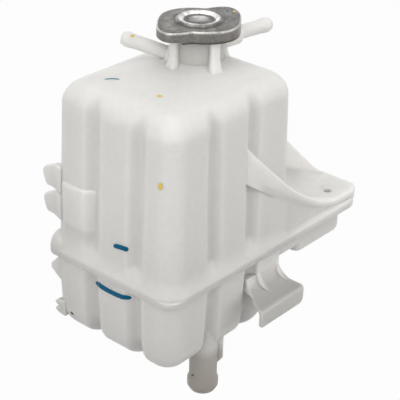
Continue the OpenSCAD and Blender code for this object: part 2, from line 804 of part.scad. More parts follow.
module spring_disc() {
    color(zinc) datum() washer(rivet_r + gap, ledge_r - 2 * gap, cap_z - cap_t - disc_t, cap_z - cap_t);
}

module rim_gasket() {
    color(black) datum() washer(mouth_r + gasket_edge[0], ledge_r - gasket_edge[1], rim_z, rim_z + gasket_t);
}

// Rivet that holds the bell and the spring disc under the cap's plate
module cap_rivet() {
    stem = cap_z - cap_t - bell_top + rivet_head_t;
    color(zinc) datum() at_neck(bell_top - rivet_head_t) {
        cylinder(r = rivet_head_r, h = rivet_head_t);
        cylinder(r = rivet_r, h = stem + gap);
        translate([0, 0, stem]) cylinder(r = rivet_top_r, h = cap_t);
    }
}

module valve_bell() {
    color(zinc) datum() at_neck(bell_z) difference() {
        cylinder(r = bell_r + plate_t, h = bell_top + plate_t - bell_z);
        translate([0, 0, plate_t]) cylinder(r = bell_r, h = bell_top - bell_z - plate_t);
        translate([0, 0, -past]) cylinder(r = bell_r - bell_lip, h = plate_t + 2 * past);
        cylinder(r = rivet_r + gap, h = bell_top);
        for (a = [0:slot_a:360 - slot_a]) rotate(a) translate([bell_r / 2, -slot_w / 2, slot_w])
            cube([bell_r, slot_w, slot_h]);
    }
}

// Coil spring: wire of radius w wound at radius r from height z0 to z1
module coil(r, w, z0, z1, turns, steps, sides) {
    n = round(turns * steps);
    rise = z1 - z0 - 2 * w;
    ring = [for (k = [0:n]) let (a = 360 * k / steps, z = z0 + w + rise * k / n)
        [for (j = [0:sides - 1]) let (b = 360 * j / sides)
            [(r + w * cos(b)) * cos(a), (r + w * cos(b)) * sin(a), z + w * sin(b)]]];
    at_neck(0) loft([for (q = ring) flip(q)]);
}

module pressure_spring() {
    color(zinc) datum()
        coil(spring_r, wire_r, collar_z + plate_t, bell_top, turns = 4.5, steps = 20, sides = 6);
}

// Plate of the pressure valve with a sleeve up to the collar that its spring presses on
module pressure_plate() {
    color(brass) datum() at_neck(plate_z) difference() {
        union() {
            cylinder(r = valve_r, h = plate_t);
            cylinder(r = sleeve_r, h = collar_z + plate_t - plate_z);
            translate([0, 0, collar_z - plate_z]) cylinder(r = collar_r, h = plate_t);
        }
        translate([0, 0, plate_t]) cylinder(r = sleeve_r - plate_t, h = seat_depth);
        translate([0, 0, -past]) cylinder(r = stem_r + stem_gap, h = seat_depth);
    }
}

module pressure_seal() {
    color(black) datum() washer(seal_hole_r, valve_r, seat_z, plate_z);
}

// Vacuum valve: a disc that closes the seal's hole from below, on a stem through the plate
module vacuum_valve() {
    color(brass) datum() at_neck(seat_z - plate_t) {
        cylinder(r = vacuum_r, h = plate_t);
        cylinder(r = stem_r, h = washer_z + plate_t - seat_z + plate_t);
    }
}

module vacuum_spring() {
    color(zinc) datum()
        coil(vacuum_coil_r, vacuum_wire_r, plate_z + plate_t, washer_z, turns = 3.5, steps = 12, sides = 5);
}

module vacuum_washer() {
    color(zinc) datum() washer(stem_r, washer_r, washer_z, washer_z + washer_t);
}

upper_shell();
lower_shell();
cap_cover();
spring_disc();
rim_gasket();
cap_rivet();
valve_bell();
pressure_spring();
pressure_plate();
pressure_seal();
vacuum_valve();
vacuum_spring();
vacuum_washer();
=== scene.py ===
import math

import bmesh
import bpy
import numpy as np
from mathutils import Matrix, Vector
from mathutils.bvhtree import BVHTree


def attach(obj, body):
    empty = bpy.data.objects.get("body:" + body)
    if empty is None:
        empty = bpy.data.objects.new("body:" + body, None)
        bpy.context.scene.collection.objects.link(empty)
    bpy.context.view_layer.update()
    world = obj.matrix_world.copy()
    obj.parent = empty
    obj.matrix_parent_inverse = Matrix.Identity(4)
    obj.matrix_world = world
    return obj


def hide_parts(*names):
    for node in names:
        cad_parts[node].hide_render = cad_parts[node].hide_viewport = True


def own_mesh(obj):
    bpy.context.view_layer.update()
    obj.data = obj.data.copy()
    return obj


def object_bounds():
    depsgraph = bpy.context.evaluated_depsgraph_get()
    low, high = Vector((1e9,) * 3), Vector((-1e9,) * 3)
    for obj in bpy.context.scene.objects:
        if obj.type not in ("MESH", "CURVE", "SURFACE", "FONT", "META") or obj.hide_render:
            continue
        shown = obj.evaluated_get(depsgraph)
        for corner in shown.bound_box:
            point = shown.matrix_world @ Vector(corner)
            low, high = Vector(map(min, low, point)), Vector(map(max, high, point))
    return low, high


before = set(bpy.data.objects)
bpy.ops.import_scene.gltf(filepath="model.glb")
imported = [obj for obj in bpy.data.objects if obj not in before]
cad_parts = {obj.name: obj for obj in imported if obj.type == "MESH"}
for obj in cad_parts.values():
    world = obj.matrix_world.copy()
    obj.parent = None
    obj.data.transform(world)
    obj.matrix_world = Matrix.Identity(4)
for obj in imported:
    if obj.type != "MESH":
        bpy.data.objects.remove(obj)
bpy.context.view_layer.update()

# Sizes in millimetres, measured from the near upright corner of the flange, as in the CAD.
ORIGIN = np.array([266.0, 20.0, 20.0])
FLANGE_X, FLANGE_Y, LUG_Y, LIP_H, FLANGE_R, SKIRT_T = 301.0, 167.0, 112.0, 9.0, 13.0, 2.6
TOWER_X, ROOF_Z, CORNER_R, SHOULDER_R, CROWN = 182.0, 183.0, 22.0, 24.0, 8.0
LEAN, WALL, INSET = math.tan(math.radians(1.5)), 3.2, 5.0
FLUTE_D, FLUTE_W, FLUTE_X, FLUTE_Y, PITCH = 7.0, 26.0, 66.0, 52.0, 56.0
BOX_X = TOWER_X + 2 * INSET
WELD_Z, FILLET_H = 4.0, 18.0
LUG_Z, LUG_T, LUG_HOLE, LUG_HOLE_R, LUG_OVER, HUMP_Z = 20.0, 7.0, (266.0, 20.0), 4.5, 3.0, 23.5
FIN_Z, FIN_X, RIB_Y, RIB_T = 138.0, 102.0, 48.0, 7.0
TUB_X, TUB_Z, TUB_R, POD_Z, STEP_Z, POD_X0, POD_X1 = 163.0, 85.0, 27.0, 26.0, 17.0, 200.0, 273.0
FOOT_REACH, FOOT_Z, FOOT_LIP, FOOT_LEN, FOOT_T = 31.0, 29.0, 20.0, 66.0, 3.6
NECK, RIM_Z, NECK_R, MOUTH_R, SEAT_R = (119.0, 78.0), 229.0, 24.5, 20.5, 11.0
SEAT_Z, SEAT_T, LEDGE_T, LEDGE_R = 203.0, 3.4, 6.0, 27.5
OUTLET, OUTLET_R, OUTLET_BEAD, OUTLET_BORE, OUTLET_LEN = (77.0, 24.0), 14.0, 15.6, 11.0, 49.0
CAP_Z, CAP_H, CAP_T = 232.0, 12.0, 1.2
WAIST_R, SIDE_R, CAP_SPAN, RING_H, EAR_RISE, FINGER = 32.6, 38.4, 95.0, 2.2, 2.6, 40.0

# Tower: turn of the shoulder, fade of the flutes below it, flare and fillet at the neck and the flange
BROW_A, FLUTE_FADE, FLUTE_TOP, NECK_FLARE, NECK_FILLET = 75, 14, 0.75, 6, 5
FLANGE_EDGE, FILLET_POWER = 0.8, 2.4

# Near fin's crest and underside, far fin's ridge, and the saddle between the two
CREST_END, CREST_POWER, UNDER_END, UNDER_SHARE, UNDER_POWER = 260, 1.58, 272, 0.77, 1.4
RIDGE_END, RIDGE_SLOPE, RIDGE_BLEND, RIDGE_DROP, RIDGE_DROP_X, RIDGE_RUN = 7, 0.97, 120, 1.5, 284, 14
SADDLE_END, SADDLE_SLOPE, SADDLE_DIP, SADDLE_POWER = 10, 0.52, 6, 3.6

# Lug's side face and the near fin's section
LUG_FACE_D, LUG_FACE_X, LUG_FACE_RUN = 4.0, 126, 40
FIN_T, FIN_R, FIN_KNEE, FIN_FACE, FIN_SUNK, FIN_RUN, FIN_BELOW = 8, 2.2, 4, 1.2, 8.2, 50, 8
TIP_DROP, TIP_X, TIP_RUN = 1.2, 258, 20

# Hump, guide hooks, side panel and clip teeth
HUMP_SIDE, HUMP_TURN, HUMP_IN = 30.0, 80, 11.5
HOOK_X0, HOOK_X1, HOOK_SPREAD, HOOK_RUN, HOOK_TIP, HOOK_UNDER = 11, 16, 4.5, 17, 6, 11
PANEL_IN, PANEL_RUN, PANEL_EASE, PANEL_DEEP = 5, 15, 10, 40
HOOK_Z, CLIP_Z = (37, 66), (-62, -70)

# Nipples, and the neck's notches and fins
NIPPLE_R, BEAD_R, NIPPLE_BORE, BOSS_OVER = 6.8, 7.4, 3.2, 3.6
OVERFLOW_A, OVERFLOW_LEN, OVERFLOW_BOSS, OVERFLOW_DROP = -8, 91, 48, 21.5
VENT_A, VENT_CLIMB, VENT_REACH, VENT_BOSS, VENT_Z = 118, 13, 74, 30, 206
NOTCH_HALF, NOTCH_OUT, NECK_FINS = 27, 34, (75, 165, 255, 345)
NECK_FIN_R, NECK_FIN_HALF, NECK_FIN_EDGE, FLARE, FLARE_H = 30.6, 4.6, 2.6, 9.0, 26

# Tub, chambers under the lug, foot and outlet rib
TUB_INSET, TUB_FLUTE, TUB_BELLY, CHAMBER_R, CHAMBER_H, CHAMBER_CORNER = 3.5, 1.25, 0.8, 7, 9, 6
FOOT_BEND, FOOT_R, RIB_OUT, RIB_HALF, RIB_A = 12.0, 4, 5.5, 1.8, -40

# Cap: angles where an ear meets the side, dome and pressed ring, roundings of its rim
EAR_A, SIDE_A, DOME_R, PRESS_R, PRESS_W, CAP_ROUND, CAP_ROUND_IN = 33, 110, 10.4, 15.5, 6.6, 2.4, 1.4
FINGER_HALF = 20


def smooth(t):
    t = np.clip(t, 0, 1)
    return t * t * (3 - 2 * t)


def mix(a, b, s):
    return a * (1 - s) + b * s


# Meshes

def put(name, verts, faces):
    """A mesh object from points in millimetres and faces."""
    mesh = bpy.data.meshes.new(name)
    mesh.from_pydata([tuple(v) for v in (np.asarray(verts, float) - ORIGIN) * 0.001], [], faces)
    mesh.validate()
    obj = bpy.data.objects.new(name, mesh)
    bpy.context.scene.collection.objects.link(obj)
    return obj


def loft(name, rings):
    """Closed solid through rings of equal length, with fans at both ends."""
    rings = np.asarray(rings, float)
    m, n = rings.shape[:2]
    verts = np.concatenate([rings.reshape(-1, 3), [rings[0].mean(0)], [rings[-1].mean(0)]])
    faces = []
    for j in range(m - 1):
        for k in range(n):
            a, b = j * n + k, j * n + (k + 1) % n
            faces.append((a, b, b + n, a + n))
    last = (m - 1) * n
    for k in range(n):
        faces.append(((k + 1) % n, k, m * n))
        faces.append((last + k, last + (k + 1) % n, m * n + 1))
    obj = put(name, verts, faces)
    outward(obj)
    return obj


def outward(obj):
    bm = bmesh.new()
    bm.from_mesh(obj.data)
    bmesh.ops.recalc_face_normals(bm, faces=bm.faces)
    bm.to_mesh(obj.data)
    bm.free()


def prism(name, outline, axis, low, high, bevel=0.0):
    """Straight prism along an axis, its outline given in the other two, with rounded edges."""
    n = len(outline)
    others = [q for q in range(3) if q != axis]
    verts = []
    for h in (low, high):
        for p in outline:
            v = [0.0, 0.0, 0.0]
            v[axis] = h
            v[others[0]], v[others[1]] = p
            verts.append(v)
    faces = [tuple(range(n)), tuple(range(2 * n - 1, n - 1, -1))]
    faces += [(k, n + k, n + (k + 1) % n, (k + 1) % n) for k in range(n)]
    obj = put(name, verts, faces)
    outward(obj)
    if bevel:
        mod = obj.modifiers.new("round", "BEVEL")
        mod.width = bevel * 0.001
        mod.segments = 3
        mod.limit_method = "ANGLE"
        mod.angle_limit = math.radians(35)
        freeze(obj)
    return obj


def lathe(name, profile, segments=96, at=(0, 0, 0), turn=None):
    """Solid of revolution about Z through (radius, height) points, moved to a place in millimetres."""
    angles = np.linspace(0, 2 * np.pi, segments, endpoint=False)
    rings = [[(r * math.cos(a), r * math.sin(a), z) for a in angles] for r, z in profile]
    rings = np.array(rings)
    if turn is not None:
        rings = rings @ np.array(turn.to_3x3()).T
    return loft(name, rings + np.array(at))


def tube(name, radius, low, high, **where):
    return lathe(name, [(radius, low), (radius, high)], **where)


def freeze(obj):
    """Applies the modifiers."""
    graph = bpy.context.evaluated_depsgraph_get()
    mesh = bpy.data.meshes.new_from_object(obj.evaluated_get(graph))
    obj.modifiers.clear()
    old = obj.data
    obj.data = mesh
    bpy.data.meshes.remove(old)


def combine(base, others, how):
    for other in others:
        mod = base.modifiers.new("join", "BOOLEAN")
        mod.operation = how
        mod.solver = "MANIFOLD"
        mod.object = other
        freeze(base)
        bpy.data.objects.remove(other)
    return base


def add(base, *others):
    return combine(base, others, "UNION")


def cut(base, *others):
    return combine(base, others, "DIFFERENCE")


def keep(base, *others):
    return combine(base, others, "INTERSECT")


def finish_mesh(obj, sharp=32):
    """Smooth shading with crisp edges where faces meet at more than the given angle."""
    bm = bmesh.new()
    bm.from_mesh(obj.data)
    bmesh.ops.remove_doubles(bm, verts=bm.verts, dist=2e-6)
    bmesh.ops.dissolve_degenerate(bm, dist=2e-6, edges=bm.edges)
    bmesh.ops.triangulate(bm, faces=[f for f in bm.faces if len(f.verts) > 4])
    bm.to_mesh(obj.data)
    bm.free()
    mesh = obj.data
    mesh.polygons.foreach_set("use_smooth", [True] * len(mesh.polygons))
    mesh.set_sharp_from_angle(angle=math.radians(sharp))


# Outlines

def arc(cx, cy, r, a0, a1, n):
    return [(cx + r * math.cos(math.radians(a0 + (a1 - a0) * k / n)),
             cy + r * math.sin(math.radians(a0 + (a1 - a0) * k / n))) for k in range(n + 1)]


def rounded_box(x0, y0, x1, y1, r, n=10):
    return (arc(x0 + r, y0 + r, r, 180, 270, n) + arc(x1 - r, y0 + r, r, 270, 360, n)
            + arc(x1 - r, y1 - r, r, 0, 90, n) + arc(x0 + r, y1 - r, r, 90, 180, n))


def flute(u, first):
    return sum(np.where(np.abs(u - c) < FLUTE_W / 2, (1 + np.cos(2 * np.pi * (u - c) / FLUTE_W)) / 2, 0)
               for c in (first, first + PITCH))


def wall_stops(lo, hi, count):
    return np.linspace(lo, hi, count + 2)[1:-1]


def fluted(x1, y1, i, f, r=CORNER_R, n=12):
    """Outline of a box inset by i, with two flutes of depth f on each near wall."""
    rc = max(r - i * 0.5, 4)
    lo = i + rc
    us = wall_stops(lo, x1 - lo, 48)
    vs = wall_stops(lo, y1 - lo, 44)
    out = arc(lo, lo, rc, 180, 270, n)
    out += [(u, i + f * flute(u, FLUTE_X)) for u in us]
    out += arc(x1 - lo, lo, rc, 270, 360, n)
    out += [(x1 - i, v) for v in vs]
    out += arc(x1 - lo, y1 - lo, rc, 0, 90, n)
    out += [(u, y1 - i) for u in us[::-1]]
    out += arc(lo, y1 - lo, rc, 90, 180, n)
    out += [(i + f * flute(v, FLUTE_Y), v) for v in vs[::-1]]
    return np.array(out, float)


def lift(plan, z):
    plan = np.asarray(plan, float)
    return np.column_stack([plan, np.full(len(plan), z)])


# Upper shell

def tower(name, t):
    """The tower's outer face at t = 0, or its inner face at depth t."""
    top, sr = ROOF_Z - t, SHOULDER_R - t * 0.5
    sz = top - sr
    foot = INSET + t
    last = foot + LEAN * sz
    rings = []
    if t:
        rings.append(lift(fluted(BOX_X, FLANGE_Y, foot + 1, FLUTE_D * 0.5), WELD_Z - 1))
        start = WELD_Z + 3
    else:
        rings.append(lift(fluted(BOX_X, FLANGE_Y, 0, 0), LIP_H - 2))
        rings.append(lift(fluted(BOX_X, FLANGE_Y, 0.15, 0), LIP_H - 0.9))
        start = LIP_H
    for z in np.concatenate([np.linspace(start, LIP_H + FILLET_H, 12),
                             np.linspace(LIP_H + FILLET_H, sz, 16)[1:]]):
        s = (z - start) / (LIP_H + FILLET_H - start)
        inset = foot + LEAN * z
        if not t:
            inset = mix(FLANGE_EDGE, inset, (1 - (1 - min(s, 1)) ** FILLET_POWER))
        depth = FLUTE_D * (0.5 + 0.5 * smooth(s) if t else smooth(s))
        depth *= 1 - (1 - FLUTE_TOP) * smooth((z - (sz - FLUTE_FADE)) / FLUTE_FADE)
        rings.append(lift(fluted(BOX_X, FLANGE_Y, inset, depth), z))
    for a in np.linspace(0, BROW_A, 14)[1:]:
        inset = last + sr * (1 - math.cos(math.radians(a)))
        depth = FLUTE_D * FLUTE_TOP * (1 - smooth(a / BROW_A))
        rings.append(lift(fluted(BOX_X, FLANGE_Y, inset, depth), sz + sr * math.sin(math.radians(a))))
    brow = rings[-1]
    d = brow[:, :2] - np.array(NECK)
    away = d / np.linalg.norm(d, axis=1)[:, None]
    edge = NECK_R + NECK_FLARE - t
    goal = np.array(NECK) + away * edge
    rise = brow[0, 2]
    for s in np.linspace(0, 1, 22)[1:]:
        z = rise + (top - rise) * math.sin(min(1, 2.4 * s) * math.pi / 2) + CROWN * s
        rings.append(np.column_stack([mix(brow[:, :2], goal, s), np.full(len(brow), z)]))
    for a in np.linspace(0, 90, 8)[1:]:
        r = edge - NECK_FILLET * math.sin(math.radians(a))
        z = top + CROWN + NECK_FILLET * (1 - math.cos(math.radians(a)))
        rings.append(np.column_stack([np.array(NECK) + away * r, np.full(len(brow), z)]))
    return loft(name, rings)


def plate(name, i, low, high, bevel=0.0, short=0.0):
    """The flange's outline, inset by i and cut short at the lug's end, between two heights."""
    n = 16

    def block(x0, y0, x1, y1, r):
        rings = []
        for z, e in ((low, bevel), (low + bevel * 0.3, bevel * 0.3), (low + bevel, 0), (high, 0)):
            rings.append(lift(rounded_box(x0 + e, y0 + e, x1 - e, y1 - e, r - e, n), z))
        return loft(name, rings if bevel else [rings[0], rings[-1]])
    main = block(i, i, BOX_X - i, FLANGE_Y - i, FLANGE_R - i)
    return add(main, block(BOX_X / 2, i, FLANGE_X - i - short, LUG_Y - i, FLANGE_R + 4 - i))


def crest(x):
    """Height of the near fin's top edge."""
    s = np.maximum((CREST_END - x) / (CREST_END - FIN_X), 0)
    return LUG_Z + (FIN_Z - LUG_Z) * s ** CREST_POWER


def underline(x):
    """Height where the near fin's face turns in beneath."""
    s = np.maximum((UNDER_END - x) / (UNDER_END - FIN_X), 0)
    return LUG_Z - LUG_T + (FIN_Z - LUG_Z) * UNDER_SHARE * s ** UNDER_POWER


def ridge(x):
    """Height of the far fin's top edge."""
    d = FLANGE_X - RIDGE_END - x
    rise = RIDGE_SLOPE * (d + np.sqrt(d * d + RIDGE_BLEND)) / 2
    return LUG_Z - 3 + rise - RIDGE_DROP * smooth((x - RIDGE_DROP_X) / RIDGE_RUN)


def saddle(x, s):
    """Height of the lug's deck, from the near fin at s = 0 to the far fin at s = 1."""
    near = np.maximum(LUG_Z, crest(x) - SADDLE_DIP)
    far = LUG_Z + np.maximum(0, SADDLE_SLOPE * (FLANGE_X - SADDLE_END - x))
    return mix(near, far, s ** SADDLE_POWER)


def lug(name, x0, t):
    """The hollow lug under and between the two fins, at depth t; its face leaves the tower's wall softly."""
    back, floor = LUG_Y - INSET - t, WELD_Z - (1 if t else 0)
    rings = []
    for x in np.linspace(x0, FLANGE_X, 72):
        y0 = INSET + t
        if not t:
            y0 += FLUTE_D * flute(x, FLUTE_X) + LUG_FACE_D * (1 - smooth((x - LUG_FACE_X) / LUG_FACE_RUN))
        ring = [(x, y0, floor)]
        ring += [(x, mix(y0, RIB_Y, s), saddle(x, s) - t) for s in np.linspace(0, 1, 26)]
        ring += [(x, RIB_Y + RIB_T + 14 * s, mix(saddle(x, 1.0), LUG_Z, float(smooth(s))) - t)
                 for s in np.linspace(0, 1, 9)]
        ring += [(x, back, LUG_Z - t), (x, back, floor)]
        rings.append(ring)
    return keep(loft(name, rings), plate("trim", 3 + t, -1, ROOF_Z, 0, LUG_OVER))


def fin_section(x):
    """Section of the near fin: its face starts sunk in the tower's wall, and it slopes in beneath."""
    top = float(crest(x) - TIP_DROP * smooth((x - TIP_X) / TIP_RUN))
    low, back = float(underline(x)), float(INSET + FIN_T + FLUTE_D * flute(x, FLUTE_X))
    face = FIN_FACE + FIN_SUNK * (1 - smooth((x - FIN_X) / FIN_RUN))
    out = [(back, top)] + [(face + FIN_R - FIN_R * math.sin(a), top - FIN_R + FIN_R * math.cos(a))
                           for a in np.linspace(0, math.pi / 2, 6)]
    knee = min(low + FIN_KNEE, top - FIN_R - 0.2)
    under, foot = max(face, INSET + 0.4), low - FIN_BELOW
    out += [(mix(face, under, smooth(s) ** 1.2), mix(knee, foot, s)) for s in np.linspace(0, 1, 10)]
    return [(x, y, z) for y, z in out + [(back, foot)]]


def lug_fins(name):
    near = loft(name, [fin_section(x) for x in np.linspace(FIN_X, FLANGE_X, 72)])
    root = TOWER_X - 8
    slope = np.linspace(FLANGE_X - 2, root, 40)
    far = prism("rib", [(root, LUG_Z - 4), (FLANGE_X - 2, LUG_Z - 4)] + [(x, ridge(x)) for x in slope],
                1, RIB_Y, RIB_Y + RIB_T, 2.2)
    return add(keep(add(near, far), plate("trim", 0.8, -1, ROOF_Z)), lug_slab("slab"))


def lug_slab(name):
    """The lug's rounded end plate, which slopes in beneath to the flange."""
    low, high, e = LUG_Z - LUG_T, LUG_Z, 3.2
    stops = [(LIP_H - 2, 5.0), (LIP_H, 4.4), (LIP_H + 2, 2.9), (low, 1.5), (low + 1.5, 1.0), (high - e, 1.0)]
    stops += [(high - e * (1 - math.sin(a)), 1.0 + e * (1 - math.cos(a)))
              for a in np.linspace(0.2, math.pi / 2, 7)]
    x0 = LUG_HOLE[0] - 7
    return loft(name, [lift(rounded_box(x0 + i, i, FLANGE_X - i, LUG_Y - i, 17 - i, 16), z) for z, i in stops])


def hump(name):
    """Rounded hump on the flange's far corner; its top runs into the tower's wall."""
    side, y0 = HUMP_SIDE, FLANGE_Y - HUMP_SIDE
    rings = [lift(rounded_box(0.02, y0, side, FLANGE_Y - 0.02, FLANGE_R), LIP_H - 3)]
    for a in np.linspace(0, HUMP_TURN, 14):
        c = math.radians(a)
        e = HUMP_IN * (1 - math.cos(c)) ** 0.9
        r = min(FLANGE_R - e * 0.45, side / 2 - 0.9 - e * 0.75)
        rings.append(lift(rounded_box(0.4 + e, y0 + 1 + e * 0.5, side - 1 - e * 0.5, FLANGE_Y - 0.4 - e, r),
                          LIP_H + (HUMP_Z - LIP_H) * math.sin(c)))
    rings.append(lift(rounded_box(12, y0 + 6, side - 6, FLANGE_Y - 13, 5), HUMP_Z + 7))
    return loft(name, rings)


def collar(name):
    """Soft fillet from the flange up to the lug's sides."""
    x0, x1 = BOX_X / 2, FLANGE_X - LUG_OVER
    rings = [lift(rounded_box(x0, 0, x1, LUG_Y, FLANGE_R + 4, 16), LIP_H - 2.02)]
    for s in np.linspace(0, 1, 9):
        e = mix(0.7, INSET, 1 - (1 - s) ** 2.2)
        rings.append(lift(rounded_box(x0 + e, e, x1 - e, LUG_Y - e, FLANGE_R + 4 - e, 16), LIP_H + 4 * s))
    return loft(name, rings)


def guide_hook(name, z, h=29.0, reach=16.0):
    """Sawtooth hook on the far wall; it widens towards its root, where it runs out on the tower's corner."""
    y0, y1 = FLANGE_Y - INSET - 12, FLANGE_Y - INSET + reach
    rings = []
    for y in np.concatenate([np.linspace(y0, y1 - HOOK_TIP, 12),
                             y1 - HOOK_TIP * (1 - np.sin(np.linspace(0.15, math.pi / 2, 8)))]):
        low = z + HOOK_UNDER * max(0.0, (y - y1 + HOOK_TIP) / HOOK_TIP) ** 2.2
        high = z + h - 1.5 - (h * 0.3) * max(0.0, (y - y0 - 10)) / (y1 - y0 - 10)
        high -= 2.2 * max(0.0, (y - y1 + 3) / 3) ** 2
        thin = HOOK_X0 - HOOK_SPREAD * (1 - smooth((y - y0) / HOOK_RUN))
        shape = rounded_box(thin, low, HOOK_X1, high, 1.4, 4)
        rings.append([(p[0], y, p[1]) for p in shape])
    return loft(name, rings)


def side_panel(name, z0=38.0, z1=82.0, t=2.8):
    """Soft raised panel on the far lobe of the wall that faces -X."""
    y0, y1 = FLUTE_Y + PITCH - FLUTE_W * 0.3, FLANGE_Y - CORNER_R
    face = INSET + LEAN * z1 - t
    stops = [(z, 1 - smooth((z - z0 + 10) / 13)) for z in np.linspace(z0 - 10, z0 + 3, 12)] + [(z1 - 8, 0.0)]
    stops += [(z1 - 6 * (1 - math.sin(a)), (1 - math.cos(a)) ** 1.3) for a in np.linspace(0.1, math.pi / 2, 10)]
    rings = []
    for z, e in stops:
        side = [(face + t * (0.1 + e) + PANEL_EASE * (1 - smooth(k)) ** 1.2, y0 + PANEL_IN + PANEL_RUN * k)
                for k in np.linspace(0, 1, 16)]
        side = side[::-1] + [(face + PANEL_DEEP, y0 + PANEL_IN), (face + PANEL_DEEP, y1 + 4)]
        side += [(face + t * (0.1 + e) + 4 * (1 - k) ** 2, y1 + 4 - 6 * k) for k in np.linspace(0, 1, 8)]
        rings.append(lift(side, z))
    return loft(name, rings)


def nipple(name, reach, boss, place, direction):
    """A hose nipple with a bead at its tip and a thicker boss at its root, and the tool for its bore."""
    r, b = NIPPLE_R, BEAD_R
    turn = Vector(direction).to_track_quat("Z", "Y").to_matrix()
    body = lathe(name, [(r, 0), (r, reach - 13), (b, reach - 10), (b, reach - 5), (b - 0.5, reach - 3.4),
                        (r - 1.0, reach - 0.6), (r - 1.7, reach)], 72, place, turn)
    wide = r + BOSS_OVER
    side = [(wide, 0), (wide, boss - 1.4), (wide - 0.4, boss - 0.4), (wide - 1.4, boss)]
    body = add(body, lathe("boss", side, 72, place, turn))
    return body, lathe("bore", [(NIPPLE_BORE, MOUTH_R - 3), (NIPPLE_BORE, reach + 5)], 48, place, turn)


def neck_parts():
    """The filler neck with its ledge, the ledge's two notches and four fins below it."""
    x, y = NECK
    wall = lathe("neck", [(NECK_R, ROOF_Z - 8), (NECK_R, RIM_Z - LEDGE_T), (LEDGE_R, RIM_Z - LEDGE_T),
                          (LEDGE_R, RIM_Z - 0.6), (LEDGE_R - 0.6, RIM_Z)], 128, (x, y, 0))
    for a in (FINGER + 90, FINGER + 270):
        c = math.radians(a)
        half = math.radians(NOTCH_HALF)
        pts = [(x + NOTCH_OUT * math.cos(c + half * s), y + NOTCH_OUT * math.sin(c + half * s))
               for s in np.linspace(-1, 1, 9)]
        inner = [(x + (NECK_R + 0.01) * math.cos(c + half * s), y + (NECK_R + 0.01) * math.sin(c + half * s))
                 for s in np.linspace(1, -1, 13)]
        wall = cut(wall, prism("notch", pts + inner, 2, RIM_Z - LEDGE_T - 1, RIM_Z + 1))
    for a in NECK_FINS:
        c = math.radians(a)
        along, side = np.array([math.cos(c), math.sin(c)]), np.array([-math.sin(c), math.cos(c)])
        rings = []
        top, base = RIM_Z - LEDGE_T - 2.8, ROOF_Z - 4
        for z in np.linspace(base, top, 16):
            flare = FLARE * max(0.0, 1 - (z - base) / FLARE_H) ** 2.0
            reach, half, edge = NECK_FIN_R + flare, NECK_FIN_HALF + flare * 0.7, NECK_FIN_EDGE
            shape = [(NECK_R - 3, -half), (reach - edge, -half)]
            shape += [(reach - edge + edge * math.cos(b), -half + edge + edge * math.sin(b))
                      for b in np.linspace(-math.pi / 2, 0, 6)[1:]]
            shape += [(r, -w) for r, w in shape[::-1]]
            rings.append([(x + (along * r + side * w)[0], y + (along * r + side * w)[1], z) for r, w in shape])
        wall = add(wall, loft("fin", rings))
    return wall


def upper_shell():
    """Outer forms first, then the cavity, the neck's bores, and the lug's hole in its boss."""
    shell = tower("upper_shell_form", 0)
    shell = add(shell, side_panel("panel"), hump("hump"), *[guide_hook("hook", z) for z in HOOK_Z])
    shell = add(shell, plate("plate", 0, 0, LIP_H - 1.9, 0.8, LUG_OVER), collar("collar"),
                lug("lug", BOX_X / 2 + 4, 0))
    shell = add(shell, lug_fins("fins"), neck_parts())
    x, y = NECK
    a = math.radians(OVERFLOW_A)
    over, over_bore = nipple("overflow", OVERFLOW_LEN, OVERFLOW_BOSS, (x, y, RIM_Z - OVERFLOW_DROP),
                             (math.cos(a), math.sin(a), 0))
    a, c = math.radians(VENT_A), math.radians(VENT_CLIMB)
    way = (math.cos(c) * math.cos(a), math.cos(c) * math.sin(a), math.sin(c))
    vent, vent_bore = nipple("vent", VENT_REACH / math.cos(c), VENT_BOSS,
                             (x, y, VENT_Z - VENT_REACH * math.tan(c)), way)
    shell = add(shell, over, vent)
    shell = cut(shell, tower("inner", WALL), lug("lug_inner", TOWER_X - 8, WALL),
                plate("recess", SKIRT_T, -1, WELD_Z, 0, LUG_OVER))
    shell = cut(shell, tube("mouth", MOUTH_R, SEAT_Z, RIM_Z + 1, at=(x, y, 0)),
                tube("seat", SEAT_R, SEAT_Z - SEAT_T - 1, SEAT_Z + 1, at=(x, y, 0)),
                tube("throat", MOUTH_R, ROOF_Z - 10, SEAT_Z - SEAT_T, at=(x, y, 0)), over_bore, vent_bore)
    hx, hy = LUG_HOLE
    spot = lathe("spot", [(8.0, LUG_Z), (8.4, LUG_Z + 0.4), (9.6, LUG_Z + 1.2), (10.6, LUG_Z + 20)], 64,
                 (hx, hy, 0))
    shell = cut(shell, tube("through", LUG_HOLE_R + 1, WELD_Z - 1, LUG_Z + 4, at=(hx, hy, 0)), spot)
    boss = lathe("boss", [(LUG_HOLE_R + 3, WELD_Z), (LUG_HOLE_R + 3, LUG_Z)], 64, (hx, hy, 0))
    shell = add(shell, boss)
    hole = lathe("hole", [(LUG_HOLE_R, WELD_Z + 3), (LUG_HOLE_R, LUG_Z - 1.2), (LUG_HOLE_R + 0.5, LUG_Z - 0.5),
                          (LUG_HOLE_R + 1.6, LUG_Z), (LUG_HOLE_R + 1.7, LUG_Z + 4)], 64, (hx, hy, 0))
    return cut(shell, hole)


# Lower shell

def tub(name, t):
    """The fluted tub's outer face at t = 0, or its inner face at depth t."""
    inset, r = TUB_INSET + t, TUB_R - t * 0.5
    low, slope = r - TUB_Z + t, TUB_INSET + t + LEAN * TUB_Z
    rings = []
    for a in np.linspace(84, 0, 14)[:-1]:
        c = math.radians(a)
        rings.append(lift(fluted(TUB_X, FLANGE_Y, slope + r * (1 - math.cos(c)),
                                 FLUTE_D * (TUB_FLUTE + TUB_BELLY * math.sin(2 * c))), low - r * math.sin(c)))
    for z in np.linspace(low, WELD_Z + (1 if t else -1), 14):
        s = (z - low) / (WELD_Z - low)
        rings.append(lift(fluted(TUB_X, FLANGE_Y, mix(slope, inset, s), FLUTE_D * mix(TUB_FLUTE, 1.0, s)), z))
    return loft(name, rings)


